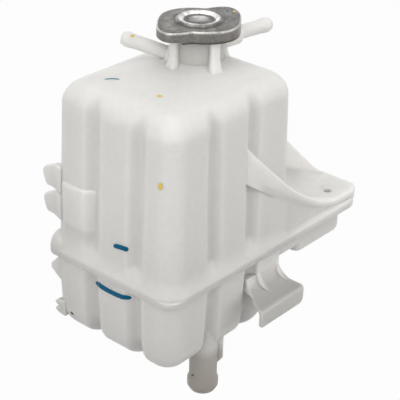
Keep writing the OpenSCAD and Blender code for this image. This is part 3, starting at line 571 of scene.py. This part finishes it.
def chamber(name, x0, x1, z, t):
    """A round-bottomed box below the lug, from the weld down to z, at depth t."""
    y0, y1, x2 = INSET + 1 + t, LUG_Y - INSET - 1 - t, x1 - t
    rings = []
    for a in np.linspace(90, 0, 8):
        c = math.radians(a)
        e = CHAMBER_R * (1 - math.cos(c))
        rings.append(lift(rounded_box(x0 + e, y0 + e, x2 - e, y1 - e, CHAMBER_CORNER),
                          -z + t + CHAMBER_H * (1 - math.sin(c))))
    rings.append(lift(rounded_box(x0, y0, x2 + 0.2, y1, CHAMBER_CORNER), WELD_Z + (1 if t else -1)))
    return loft(name, rings)


def foot_parts():
    """The hooked foot: shelf and lip, the plate behind them, and two gussets."""
    x1, x0 = TUB_X, TUB_X - FOOT_LEN
    root, bend, inner = -INSET - 9, FOOT_BEND, FOOT_REACH - FOOT_T
    quarter = np.linspace(0, math.pi / 2, 10)
    line = [(root, bend)] + [(bend * (1 - math.cos(a)) - 4, bend * (1 - math.sin(a))) for a in quarter]
    line += [(FOOT_REACH - FOOT_R + FOOT_R * math.sin(a), -FOOT_R + FOOT_R * math.cos(a)) for a in quarter]
    line += [(FOOT_REACH, 1.2 - FOOT_LIP), (FOOT_REACH - 0.4, 0.4 - FOOT_LIP), (FOOT_REACH - 1.2, -FOOT_LIP),
             (inner, -FOOT_LIP)]
    line += [(inner - FOOT_R + FOOT_R * math.cos(a), -FOOT_T - FOOT_R + FOOT_R * math.sin(a)) for a in quarter]
    line += [(root, -FOOT_T)]
    foot = prism("foot", [(-p[0], p[1] - FOOT_Z) for p in line], 0, x0 - 1, x1 + 1)
    face = [(x0, 0)] + arc(x0 + 3, 3 - FOOT_Z - FOOT_LIP, 3, 180, 270, 5)
    face += arc(x1 - 8, 8 - FOOT_Z - FOOT_LIP, 8, 270, 360, 10) + [(x1, 0)]
    foot = keep(foot, prism("face", face, 1, -FOOT_REACH - 1, -root))
    plan = [(x0 - 2, -FOOT_REACH - 1), (x1 + 2, -FOOT_REACH - 1), (x1 + 2, -root), (x0 + 22, -root)]
    plan += [(x0 + 16, -INSET), (x0 + 8, -FOOT_REACH * 0.45), (x0 + 1.5, -FOOT_REACH + 6), (x0, 3 - FOOT_REACH)]
    foot = keep(foot, prism("plan", plan, 2, -FOOT_Z - FOOT_LIP - 1, 0))
    back = [(root, 0), (-2, 0), (-2, FOOT_Z - 1), (root, FOOT_Z - 1)]
    parts = [foot, prism("back", [(-p[0], p[1] - FOOT_Z) for p in back], 0, x1 - FOOT_LEN * 0.5, x1)]
    for x, thick in ((x1 - FOOT_T, FOOT_T), (x0 + FOOT_LEN * 0.5, FOOT_T)):
        line = [(root, -1), (root, FOOT_Z - 8), (-INSET, FOOT_Z - 8)]
        line += [(mix(-INSET + 2, FOOT_REACH * 0.55, 1 - math.cos(a)), (FOOT_Z - 9) * (1 - math.sin(a)))
                 for a in np.linspace(0, math.pi / 2, 18)]
        line += [(FOOT_REACH * 0.55, -1)]
        parts.append(prism("gusset", [(-p[0], p[1] - FOOT_Z) for p in line], 0, x, x + thick, 0.9))
    return parts


def corner_clips():
    """A corner tab under the flange and two clip teeth below it."""
    y = FLANGE_Y - INSET
    tab = [(y - 16, -2), (y - 5, -7), (y + 1.5, -14), (y + 4, -17), (y + 4, -21.5), (y - 6, -29), (y - 16, -34)]
    parts = [prism("tab", tab, 0, 6.5, 9.5, 0.8)]
    for z in CLIP_Z:
        tooth = [(y - 16, z - 1), (y - 7, z), (y - 2.5, z + 2.2), (y - 2, z + 4.5),
                 (y - 7, z + 8), (y - 16, z + 10)]
        parts.append(prism("tooth", tooth, 0, 5, 12, 0.8))
    return parts


def lower_shell():
    """Outer forms and the spout with its rib, then the cavities and the spout's bore."""
    shell = tub("lower_shell_form", 0)
    shell = add(shell, chamber("step", TUB_X - 20, POD_X0 + 12, STEP_Z, 0),
                chamber("pod", POD_X0, POD_X1, POD_Z, 0),
                plate("weld", SKIRT_T + 0.3, 0, WELD_Z, 0, LUG_OVER), *foot_parts(), *corner_clips())
    at = (OUTLET[0], OUTLET[1], -TUB_Z - OUTLET_LEN)
    spout_side = [(OUTLET_R - 1.7, 0), (OUTLET_R - 1.2, 0.3), (OUTLET_BEAD - 0.5, 4.2), (OUTLET_BEAD, 5.5),
                  (OUTLET_BEAD, 12.5), (OUTLET_BEAD - 0.5, 14), (OUTLET_R, 17), (OUTLET_R, OUTLET_LEN + TUB_R)]
    spout = lathe("spout", spout_side, 96, at)
    rib = [(OUTLET_R - 2, OUTLET_LEN + 12), (OUTLET_R + RIB_OUT, OUTLET_LEN + 12),
           (OUTLET_R + RIB_OUT, OUTLET_LEN - 14), (OUTLET_R - 2, OUTLET_LEN - 22)]
    rib = prism("rib", rib, 1, -RIB_HALF, RIB_HALF, 0.8)
    turn = Matrix.Rotation(math.radians(RIB_A), 4, "Z")
    corner = Vector(ORIGIN * -0.001)
    rib.data.transform(Matrix.Translation(Vector(at) * 0.001 + corner) @ turn @ Matrix.Translation(-corner))
    shell = add(shell, spout, rib)
    shell = cut(shell, tub("inner", WALL), chamber("step_in", TUB_X - 20, POD_X0 + 12, STEP_Z, WALL),
                chamber("pod_in", POD_X0 + WALL, POD_X1, POD_Z, WALL),
                tube("bore", OUTLET_BORE, -1, OUTLET_LEN + TUB_R - WALL, at=at))
    return shell


# Cap

def ear_radius(a):
    """Radius of the cap's outline at an angle in degrees: ear, waist, round side, and up to the next ear."""
    a = a % 180
    if a < EAR_A:
        return mix(WAIST_R, CAP_SPAN / 2, (1 + math.cos(math.radians(180 * a / EAR_A))) / 2)
    if a < SIDE_A:
        return mix(WAIST_R, SIDE_R, (1 - math.cos(math.radians(180 * (a - EAR_A) / (SIDE_A - EAR_A)))) / 2)
    rise = (1 - math.cos(math.radians(180 * (a - SIDE_A) / (180 - SIDE_A)))) / 2
    return mix(SIDE_R, CAP_SPAN / 2, rise ** 2.2)


def press_height(r):
    """Height of the pressed top above its flat part, at radius r."""
    if r < DOME_R:
        return RING_H * 0.75 * math.cos(r / DOME_R * math.pi / 2)
    if PRESS_R <= r < PRESS_R + PRESS_W:
        return RING_H * math.sin((r - PRESS_R) / PRESS_W * math.pi)
    return 0.0


def cap_cover():
    """Pressed cover as one closed sheet, its outer and inner side lofted together, and its two fingers."""
    angles = np.arange(0, 360, 1.5)
    radii = np.array([ear_radius(a) for a in angles])
    way = np.column_stack([np.cos(np.radians(angles)), np.sin(np.radians(angles))])
    ear = smooth((radii - SIDE_R - 0.2) / 1.6)
    skirt = CAP_Z - CAP_H + EAR_RISE * ear

    def ring(r, z):
        return np.column_stack([np.array(NECK) + way * np.broadcast_to(r, len(angles))[:, None],
                                np.broadcast_to(z, len(angles))])

    def side(inset, top, corner):
        rings = [ring(radii - inset, z) for z in (skirt, CAP_Z - CAP_H / 2, top - corner)]
        for a in np.linspace(0, 90, 7)[1:]:
            c = math.radians(a)
            rings.append(ring(radii - inset - corner * (1 - math.cos(c)), top - corner * (1 - math.sin(c))))
        edge = radii - inset - corner
        for s in np.linspace(0, 1, 7)[1:]:
            rings.append(ring(mix(edge, 24.0, s), top))
        for r in np.concatenate([np.linspace(22.4, 10.4, 34), np.linspace(10.0, 0.4, 18)]):
            rings.append(ring(r, top + press_height(r)))
        return rings
    outer = side(0, CAP_Z, CAP_ROUND)
    inner = side(CAP_T, CAP_Z - CAP_T, CAP_ROUND_IN)
    cover = loft("cap_cover_form", inner[::-1] + outer)
    for a in (FINGER, FINGER + 180):
        span = np.radians(np.linspace(a - FINGER_HALF, a + FINGER_HALF, 12))
        rim = [(NECK[0] + (ear_radius(math.degrees(s)) - 0.6) * math.cos(s),
                NECK[1] + (ear_radius(math.degrees(s)) - 0.6) * math.sin(s)) for s in span]
        root = [(NECK[0] + (NECK_R + 0.9) * math.cos(s), NECK[1] + (NECK_R + 0.9) * math.sin(s))
                for s in span[::-1]]
        z = RIM_Z - LEDGE_T - 0.3
        cover = add(cover, prism("finger", rim + root, 2, z - CAP_T, z, 0.3))
    return cover


# Materials

class Shader:
    """A node material with a principled shader."""

    def __init__(self, name):
        self.mat = bpy.data.materials.new(name)
        self.mat.use_nodes = True
        self.tree = self.mat.node_tree
        self.surface = next(n for n in self.tree.nodes if n.type == "BSDF_PRINCIPLED")
        self.coord = self.new("ShaderNodeTexCoord").outputs["Object"]

    def new(self, kind):
        return self.tree.nodes.new(kind)

    def link(self, source, target):
        self.tree.links.new(source, target)

    def set(self, **values):
        for key, value in values.items():
            self.surface.inputs[key.replace("_", " ")].default_value = value

    def noise(self, scale, detail=4, rough=0.55, stretch=(1, 1, 1)):
        mapping = self.new("ShaderNodeMapping")
        mapping.inputs["Scale"].default_value = stretch
        self.link(self.coord, mapping.inputs["Vector"])
        node = self.new("ShaderNodeTexNoise")
        node.inputs["Scale"].default_value = scale
        node.inputs["Detail"].default_value = detail
        node.inputs["Roughness"].default_value = rough
        self.link(mapping.outputs["Vector"], node.inputs["Vector"])
        return node.outputs["Fac"]

    def ramp(self, source, stops):
        node = self.new("ShaderNodeValToRGB")
        ramp = node.color_ramp
        ramp.elements[0].position, ramp.elements[0].color = stops[0][0], grey(stops[0][1])
        ramp.elements[1].position, ramp.elements[1].color = stops[-1][0], grey(stops[-1][1])
        for place, value in stops[1:-1]:
            ramp.elements.new(place).color = grey(value)
        self.link(source, node.inputs["Fac"])
        return node.outputs["Color"]

    def blend(self, factor, a, b, how="MIX"):
        node = self.new("ShaderNodeMix")
        node.data_type = "RGBA"
        node.blend_type = how
        for socket, value in ((node.inputs[0], factor), (node.inputs[6], a), (node.inputs[7], b)):
            if isinstance(value, (int, float, tuple)):
                socket.default_value = value
            else:
                self.link(value, socket)
        return node.outputs[2]

    def maths(self, how, a, b):
        node = self.new("ShaderNodeMath")
        node.operation = how
        for socket, value in zip(node.inputs, (a, b)):
            if isinstance(value, (int, float)):
                socket.default_value = value
            else:
                self.link(value, socket)
        return node.outputs[0]

    def bump(self, height, strength, distance, soften=0.0):
        node = self.new("ShaderNodeBump")
        node.inputs["Strength"].default_value = strength
        node.inputs["Distance"].default_value = distance
        self.link(height, node.inputs["Height"])
        if soften:
            bevel = self.new("ShaderNodeBevel")
            bevel.samples = 4
            bevel.inputs["Radius"].default_value = soften
            self.link(bevel.outputs["Normal"], node.inputs["Normal"])
        self.link(node.outputs["Normal"], self.surface.inputs["Normal"])


def grey(value):
    return (value, value, value, 1) if isinstance(value, (int, float)) else (*value, 1)


def from_neck(s):
    """Distance from the neck's axis, in metres."""
    offset = s.new("ShaderNodeVectorMath")
    offset.operation = "SUBTRACT"
    offset.inputs[1].default_value = ((NECK[0] - ORIGIN[0]) * 0.001, (NECK[1] - ORIGIN[1]) * 0.001, 0)
    s.link(s.coord, offset.inputs[0])
    flat = s.new("ShaderNodeVectorMath")
    flat.operation = "MULTIPLY"
    flat.inputs[1].default_value = (1, 1, 0)
    s.link(offset.outputs[0], flat.inputs[0])
    radius = s.new("ShaderNodeVectorMath")
    radius.operation = "LENGTH"
    s.link(flat.outputs[0], radius.inputs[0])
    return radius.outputs["Value"]


def milky(name, light, fade, dust_and_shade):
    """Milky plastic with painted shade: fade gives (height in metres, shade) stops that darken the lower parts,
    partly as painted shade and partly as thicker plastic; it also paints shade towards the far wall and under
    the cap on the neck, and the last flag greys the foot's shelf and lip with dust and painted shade under the
    tank.
    """
    s = Shader(name)
    broad = s.ramp(s.noise(7, 3), [(0.3, tuple(c * 0.965 for c in light)), (0.7, light)])
    fine = s.ramp(s.noise(170, 5, 0.7), [(0.30, 0.96), (0.62, 1.0)])
    colour = s.blend(1.0, broad, fine, "MULTIPLY")
    split = s.new("ShaderNodeSeparateXYZ")
    s.link(s.coord, split.inputs[0])
    # Painted shade by height, together with the plastic's thicker walls low down: the fade darkens the lower
    # parts. Past the tower's end the height is lifted, so the lug gets less of this painted shade.
    low, high = fade[0][0], fade[-1][0]
    past_tower = s.maths("MAXIMUM", s.maths("SUBTRACT", split.outputs["X"], (TOWER_X - ORIGIN[0]) * 0.001), 0.0)
    lifted = s.maths("ADD", split.outputs["Z"], s.maths("MULTIPLY", past_tower, 1.3))
    height = s.maths("DIVIDE", s.maths("SUBTRACT", lifted, low), high - low)
    shade = s.ramp(height, [((z - low) / (high - low), c) for z, c in fade])
    colour = s.blend(1.0, colour, shade, "MULTIPLY")
    # Painted shade: the plastic is darker towards the far wall (+Y).
    far = s.maths("MULTIPLY", split.outputs["Y"], 6.0)
    colour = s.blend(1.0, colour, s.ramp(far, [(0.60, 1.0), (0.84, 0.86)]), "MULTIPLY")
    # Painted shadow of the cap on the neck: darker within about 25 mm of the neck's axis, fading out by 28 mm.
    cap_shadow = s.ramp(s.maths("MULTIPLY", from_neck(s), 20.0), [(0.49, 0.70), (0.57, 1.0)])
    colour = s.blend(1.0, colour, cap_shadow, "MULTIPLY")
    if dust_and_shade:
        # Painted shade and dust on faces that look up, such as the foot's shelf under the tank.
        up = s.new("ShaderNodeSeparateXYZ")
        s.link(s.new("ShaderNodeNewGeometry").outputs["Normal"], up.inputs[0])
        colour = s.blend(1.0, colour, s.ramp(up.outputs["Z"], [(0.35, 1.0), (0.9, 0.68)]), "MULTIPLY")
        # Painted shade and dust on the foot's outer part and its lip.
        outer = s.maths("MULTIPLY", split.outputs["Y"], -10.0)
        colour = s.blend(1.0, colour, s.ramp(outer, [(0.22, 1.0), (0.48, 0.76)]), "MULTIPLY")
    s.link(colour, s.surface.inputs["Base Color"])
    s.link(s.ramp(s.noise(60, 4), [(0.3, 0.38), (0.7, 0.5)]), s.surface.inputs["Roughness"])
    s.set(Subsurface_Weight=0.85, Subsurface_Scale=0.011, Specular_IOR_Level=0.35)
    s.surface.inputs["Subsurface Radius"].default_value = (1.0, 1.0, 1.0)
    s.bump(s.noise(900, 3, 0.6), 0.08, 0.0005, 0.0025)
    return s.mat


def metal(name, dark, light, rough=(0.32, 0.55), bump=0.12, soften=0.0004, metallic=0.85):
    s = Shader(name)
    blotch = s.ramp(s.noise(45, 6, 0.65), [(0.32, dark), (0.68, light)])
    scratch = s.ramp(s.noise(220, 4, 0.6, (1, 6, 1)), [(0.42, 0.82), (0.60, 1.0)])
    s.link(s.blend(1.0, blotch, scratch, "MULTIPLY"), s.surface.inputs["Base Color"])
    s.link(s.ramp(s.noise(130, 5), [(0.3, rough[0]), (0.7, rough[1])]), s.surface.inputs["Roughness"])
    s.set(Metallic=metallic)
    s.bump(s.noise(700, 4, 0.6), bump, 0.0004, soften)
    return s.mat


def cap_metal(name):
    """Plated sheet with painted highlights on the pressed ring, the dome and the rounded rim, painted shade in
    the grooves beside the ring, and dark worn mottling on the flat round them.
    """
    s = Shader(name)
    place = s.maths("MULTIPLY", from_neck(s), 20.0)
    # Painted highlights on the dome and the ring's crest, painted shade in the grooves inside and outside the
    # ring, then the flat's own dark colour.
    rings = s.ramp(place, [(0.0, (0.72, 0.71, 0.69)), (0.10, (0.58, 0.57, 0.55)), (0.17, (0.32, 0.31, 0.30)),
                           (0.215, (0.11, 0.10, 0.095)), (0.28, (0.12, 0.11, 0.105)),
                           (0.32, (0.97, 0.96, 0.94)),
                           (0.37, (0.82, 0.81, 0.79)), (0.41, (0.24, 0.23, 0.22)), (0.46, (0.085, 0.08, 0.075)),
                           (0.52, (0.17, 0.162, 0.15)), (0.72, (0.17, 0.162, 0.15)), (1.0, (0.16, 0.152, 0.14))])
    blotch = s.ramp(s.noise(75, 7, 0.7), [(0.36, 0.55), (0.50, 0.95), (0.62, 1.6)])
    grain = s.ramp(s.noise(420, 5, 0.65), [(0.36, 0.78), (0.60, 1.12)])
    top = s.blend(1.0, s.blend(1.0, rings, blotch, "MULTIPLY"), grain, "MULTIPLY")
    split = s.new("ShaderNodeSeparateXYZ")
    s.link(s.coord, split.inputs[0])
    drop = s.maths("MULTIPLY", s.maths("SUBTRACT", (CAP_Z - ORIGIN[2]) * 0.001, split.outputs["Z"]), 80.0)
    # Painted highlight along the rounded rim at the top of the skirt, then the skirt's own colour, darker at its
    # lower edge.
    skirt = s.ramp(drop, [(0.0, (0.46, 0.45, 0.43)), (0.10, (0.50, 0.49, 0.47)), (0.22, (0.20, 0.19, 0.175)),
                          (0.80, (0.18, 0.168, 0.152)), (0.90, (0.07, 0.065, 0.06))])
    skirt = s.blend(1.0, skirt, grain, "MULTIPLY")
    side = s.ramp(drop, [(0.004, 0.0), (0.05, 1.0)])
    s.link(s.blend(side, top, skirt), s.surface.inputs["Base Color"])
    s.link(s.ramp(s.noise(160, 5), [(0.3, 0.26), (0.7, 0.42)]), s.surface.inputs["Roughness"])
    s.set(Metallic=0.9)
    s.bump(s.noise(480, 5, 0.7), 0.12, 0.0004, 0.0005)
    return s.mat


def rubber(name):
    s = Shader(name)
    s.link(s.ramp(s.noise(90, 4), [(0.3, 0.018), (0.7, 0.04)]), s.surface.inputs["Base Color"])
    s.link(s.ramp(s.noise(200, 4), [(0.3, 0.6), (0.7, 0.8)]), s.surface.inputs["Roughness"])
    s.bump(s.noise(800, 3), 0.1, 0.0003)
    return s.mat


def ink(name, colour):
    s = Shader(name)
    s.link(s.ramp(s.noise(300, 4), [(0.3, tuple(c * 0.8 for c in colour)), (0.7, colour)]),
           s.surface.inputs["Base Color"])
    s.link(s.ramp(s.noise(300, 4), [(0.3, 0.35), (0.7, 0.55)]), s.surface.inputs["Roughness"])
    s.set(Specular_IOR_Level=0.1)
    s.bump(s.noise(900, 3), 0.05, 0.0002)
    return s.mat


def paint(obj, mat):
    obj.data.materials.clear()
    obj.data.materials.append(mat)


# Camera

CAMERA = np.array([-730.5, -647.6, 642.3])
AZIMUTH, ELEVATION, ROLL = math.radians(-49.8), math.radians(28.2), math.radians(1.8)
FOCAL, IMAGE = 1280.0, 400


def camera_axes():
    """Right, up and forward of the photograph's camera."""
    forward = np.array([-math.sin(AZIMUTH) * math.cos(ELEVATION), math.cos(AZIMUTH) * math.cos(ELEVATION),
                        -math.sin(ELEVATION)])
    right = np.cross(forward, [0, 0, 1])
    right /= np.linalg.norm(right)
    up = np.cross(right, forward)
    return (right * math.cos(ROLL) + up * math.sin(ROLL), up * math.cos(ROLL) - right * math.sin(ROLL), forward)


# Marks

def ray_hit(tree, u, v):
    """Place and normal where the sight line through image place (u, v) meets a piece."""
    right, up, forward = camera_axes()
    way = forward + right * (u - IMAGE / 2) / FOCAL - up * (v - IMAGE / 2) / FOCAL
    spot, normal, _, _ = tree.ray_cast(Vector((CAMERA - ORIGIN) * 0.001), Vector(way / np.linalg.norm(way)))
    return None if spot is None else (np.array(spot), np.array(normal))


def stroke(name, obj, path, half, power, across=7):
    """A thin coat of paint on a piece, along a path given in image places, or none if the path leaves it."""
    graph = bpy.context.evaluated_depsgraph_get()
    tree = BVHTree.FromObject(obj, graph)
    path = [np.array(p, float) for p in path]
    lengths = np.cumsum([0] + [np.linalg.norm(b - a) for a, b in zip(path, path[1:])])
    count = max(12, int(lengths[-1] / 0.6))
    tops, lows = [], []
    for k, s in enumerate(np.linspace(0, 1, count)):
        d = s * lengths[-1]
        j = min(int(np.searchsorted(lengths, d, side="right")) - 1, len(path) - 2)
        way = (path[j + 1] - path[j]) / np.linalg.norm(path[j + 1] - path[j])
        centre = path[j] + way * (d - lengths[j])
        side = np.array([-way[1], way[0]])
        reach = half * max(0.06, (1 - abs(2 * s - 1) ** power)) ** 0.5
        reach *= 1 + 0.03 * math.sin(k * 0.9 + half * 9)
        for c in np.linspace(-1, 1, across):
            found = ray_hit(tree, *(centre + side * c * reach))
            if found is None:
                return None
            spot, normal = found
            thick = 0.00012 * (1 - abs(c) ** 6 * 0.8)
            tops.append(spot + normal * thick)
            lows.append(spot - normal * 0.0004)
    n, total = across, count * across
    faces = []
    for k in range(count - 1):
        for c in range(n - 1):
            a = k * n + c
            faces.append((a, a + 1, a + n + 1, a + n))
            faces.append((a + total, a + n + total, a + n + 1 + total, a + 1 + total))
    border = ([c for c in range(n)] + [k * n + n - 1 for k in range(1, count)]
              + [(count - 1) * n + c for c in range(n - 2, -1, -1)] + [k * n for k in range(count - 2, 0, -1)])
    for a, b in zip(border, border[1:] + border[:1]):
        faces.append((a, a + total, b + total, b))
    out = put(name, np.array(tops + lows) * 1000 + ORIGIN, faces)
    outward(out)
    out.data.polygons.foreach_set("use_smooth", [True] * len(out.data.polygons))
    return out


# Pieces

# Upper shell: fade stops darker towards the flange, as painted shade together with the thicker plastic there.
UPPER = milky("milky_upper", (0.80, 0.785, 0.75),
              [(-0.025, 0.80), (-0.012, 0.80), (0.0, 0.86), (0.04, 0.94), (0.09, 1.0), (0.21, 1.0)], False)
# Lower shell: a darker base colour and fade stops down to the outlet, as painted shade under the flange together
# with its thicker plastic.
LOWER = milky("milky_lower", (0.735, 0.72, 0.69),
              [(-0.155, (0.44, 0.41, 0.38)), (-0.112, (0.55, 0.53, 0.51)), (-0.100, (0.84, 0.84, 0.84)),
               (-0.060, (0.92, 0.92, 0.92)), (-0.015, (1, 1, 1))], True)
STEEL = cap_metal("cap_steel")
ZINC = metal("zinc_plate", (0.50, 0.50, 0.47), (0.66, 0.66, 0.62))
WIRE = metal("spring_wire", (0.34, 0.34, 0.34), (0.48, 0.48, 0.47))
BRASS = metal("brass_plate", (0.55, 0.40, 0.16), (0.74, 0.56, 0.26))
RUBBER = rubber("black_rubber")
BLUE = ink("blue_ink", (0.0, 0.10, 0.20))
TEAL = ink("teal_ink", (0.02, 0.22, 0.24))
YELLOW = ink("yellow_paint", (0.78, 0.56, 0.10))
SPECK = ink("dark_speck", (0.13, 0.10, 0.06))

top_shell = upper_shell()
finish_mesh(top_shell)
paint(top_shell, UPPER)
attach(top_shell, "tank")
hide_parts("upper_shell")

low_shell = lower_shell()
finish_mesh(low_shell)
paint(low_shell, LOWER)
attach(low_shell, "tank")
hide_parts("lower_shell")

cover = cap_cover()
finish_mesh(cover, 40)
paint(cover, STEEL)
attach(cover, "cap")
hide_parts("cap_cover")


def coil(name, node, body):
    """Copy of a CAD spring, carried by a body."""
    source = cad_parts[node]
    mesh = source.data.copy()
    mesh.transform(source.matrix_world)
    obj = bpy.data.objects.new(name, mesh)
    bpy.context.scene.collection.objects.link(obj)
    paint(obj, WIRE)
    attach(obj, body)
    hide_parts(node)
    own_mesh(obj)


coil("pressure_coil", "pressure_spring", "cap")
coil("vacuum_coil", "vacuum_spring", "pressure_valve")

# Paths of the marks in the photograph's pixels
BLUE_UP = [(113.5, 245.4), (120.5, 247.4), (128.5, 250.0)]
BLUE_LOW = [(96.0, 281.8), (101.0, 286.3), (108.0, 290.6), (116.0, 294.6), (122.5, 297.2), (131.4, 297.9)]
YELLOW_TIP = [(130.2, 35.6), (134.2, 36.2)]
YELLOW_ROOF = [(156.6, 95.8), (162.4, 96.2)]
YELLOW_WALL = [(160.0, 183.0), (160.4, 190.0)]
TEAL_ROOF = [(104.6, 79.2), (112.0, 78.6), (119.6, 79.2)]
SPECK_TUB = [(70.6, 311.8), (73.4, 314.8)]
SPECK_OUTLET = [(191.4, 374.8), (193.8, 375.4)]
CAP_DOT_BLUE = [(226.2, 10.6), (228.2, 11.2)]
CAP_DOT_YELLOW = [(232.8, 11.0), (235.8, 11.6)]


def mark(name, base, path, half, mat, power=2.0):
    """A coat of paint on one of the three main pieces."""
    coat = stroke(name, base, path, half, power)
    if coat is None:
        return
    on_cap = base is cover
    paint(coat, mat)
    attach(coat, "cap" if on_cap else "tank")


mark("blue_mark_1", top_shell, BLUE_UP, 2.3, BLUE, 8.0)
mark("blue_mark_2", low_shell, BLUE_LOW, 2.2, BLUE, 10.0)
mark("yellow_mark_1", top_shell, YELLOW_TIP, 1.2, YELLOW)
mark("yellow_mark_2", top_shell, YELLOW_ROOF, 1.1, YELLOW)
mark("yellow_mark_3", top_shell, YELLOW_WALL, 2.1, YELLOW)
mark("teal_mark", top_shell, TEAL_ROOF, 0.5, TEAL, 8.0)
mark("speck_1", low_shell, SPECK_TUB, 0.9, SPECK)
mark("speck_2", low_shell, SPECK_OUTLET, 1.0, SPECK)
mark("cap_speck_2", cover, CAP_DOT_BLUE, 0.7, BLUE)
mark("cap_speck_3", cover, CAP_DOT_YELLOW, 0.8, YELLOW)

for node, mat in (("spring_disc", WIRE), ("rim_gasket", RUBBER), ("cap_rivet", ZINC), ("valve_bell", ZINC),
                  ("pressure_plate", BRASS), ("pressure_seal", RUBBER), ("vacuum_valve", BRASS),
                  ("vacuum_washer", ZINC)):
    paint(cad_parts[node], mat)

# Stage

lens = bpy.data.cameras.new("camera")
lens.sensor_width = 36
lens.lens = FOCAL * lens.sensor_width / IMAGE
camera = bpy.data.objects.new("camera", lens)
bpy.context.scene.collection.objects.link(camera)
right, up, forward = camera_axes()
place = Matrix(np.column_stack([right, up, -forward]).tolist()).to_4x4()
place.translation = Vector((CAMERA - ORIGIN) * 0.001)
camera.matrix_world = place
bpy.context.scene.camera = camera


def light(name, at, aim, size, power):
    data = bpy.data.lights.new(name, "AREA")
    data.shape = "RECTANGLE"
    data.size, data.size_y = size
    data.energy = power
    obj = bpy.data.objects.new(name, data)
    obj.location = at
    obj.rotation_euler = (Vector(aim) - Vector(at)).to_track_quat("-Z", "Y").to_euler()
    bpy.context.scene.collection.objects.link(obj)


WORLD_LIGHT = 0.72
BACKDROP = (0.98, 0.98, 0.98, 1)
FLOOR_HALF, FLOOR_GAP = 30, 0.02
# Name, offset from the part's middle, width and height in metres, and power in watts
LIGHTS = [("key", (-0.9, -0.5, 1.5), (1.6, 1.6), 9), ("fill", (0.7, -1.5, 0.5), (1.8, 1.4), 6.5),
          ("side", (-1.6, -0.2, 0.4), (1.6, 1.4), 6), ("top", (0, 0, 1.8), (1.6, 1.6), 2.6),
          ("back", (0.8, 1.5, 0.1), (1.8, 0.9), 3)]

low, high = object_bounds()
middle = ((low[0] + high[0]) / 2, (low[1] + high[1]) / 2, (low[2] + high[2]) / 2)
for name, offset, size, power in LIGHTS:
    light(name, [m + d for m, d in zip(middle, offset)], middle, size, power)


def seen_ray(tree):
    """1 for rays from the camera, from a glossy face or through a clear one."""
    path = tree.nodes.new("ShaderNodeLightPath")
    total = path.outputs["Is Camera Ray"]
    for kind in ("Is Glossy Ray", "Is Transmission Ray"):
        most = tree.nodes.new("ShaderNodeMath")
        most.operation = "MAXIMUM"
        tree.links.new(total, most.inputs[0])
        tree.links.new(path.outputs[kind], most.inputs[1])
        total = most.outputs[0]
    return total


def choose(tree, plain, seen, kind):
    """Gives the seen shader to seen rays and the plain one to the rest."""
    node = tree.nodes.new("ShaderNodeMixShader")
    tree.links.new(seen_ray(tree), node.inputs[0])
    tree.links.new(plain.outputs[0], node.inputs[1])
    tree.links.new(seen.outputs[0], node.inputs[2])
    out = next(n for n in tree.nodes if n.type == kind)
    tree.links.new(node.outputs[0], out.inputs["Surface"])


world = bpy.data.worlds.new("studio")
bpy.context.scene.world = world
world.use_nodes = True
dim = world.node_tree.nodes["Background"]
dim.inputs["Color"].default_value = (1, 1, 1, 1)
dim.inputs["Strength"].default_value = WORLD_LIGHT
pale = world.node_tree.nodes.new("ShaderNodeBackground")
pale.inputs["Color"].default_value = BACKDROP
choose(world.node_tree, dim, pale, "OUTPUT_WORLD")

floor_mesh = bpy.data.meshes.new("floor")
corners = [(x, y, low[2] - FLOOR_GAP) for x, y in ((-FLOOR_HALF, -FLOOR_HALF), (FLOOR_HALF, -FLOOR_HALF),
                                                   (FLOOR_HALF, FLOOR_HALF), (-FLOOR_HALF, FLOOR_HALF))]
floor_mesh.from_pydata(corners, [], [(0, 1, 2, 3)])
floor = bpy.data.objects.new("floor", floor_mesh)
bpy.context.scene.collection.objects.link(floor)
ground = bpy.data.materials.new("floor")
ground.use_nodes = True
shade = next(n for n in ground.node_tree.nodes if n.type == "BSDF_PRINCIPLED")
shade.inputs["Base Color"].default_value = (0.5, 0.5, 0.5, 1)
shade.inputs["Roughness"].default_value = 0.9
glow = ground.node_tree.nodes.new("ShaderNodeEmission")
glow.inputs["Color"].default_value = BACKDROP
choose(ground.node_tree, shade, glow, "OUTPUT_MATERIAL")
floor_mesh.materials.append(ground)

bpy.context.scene.view_settings.view_transform = "Standard"
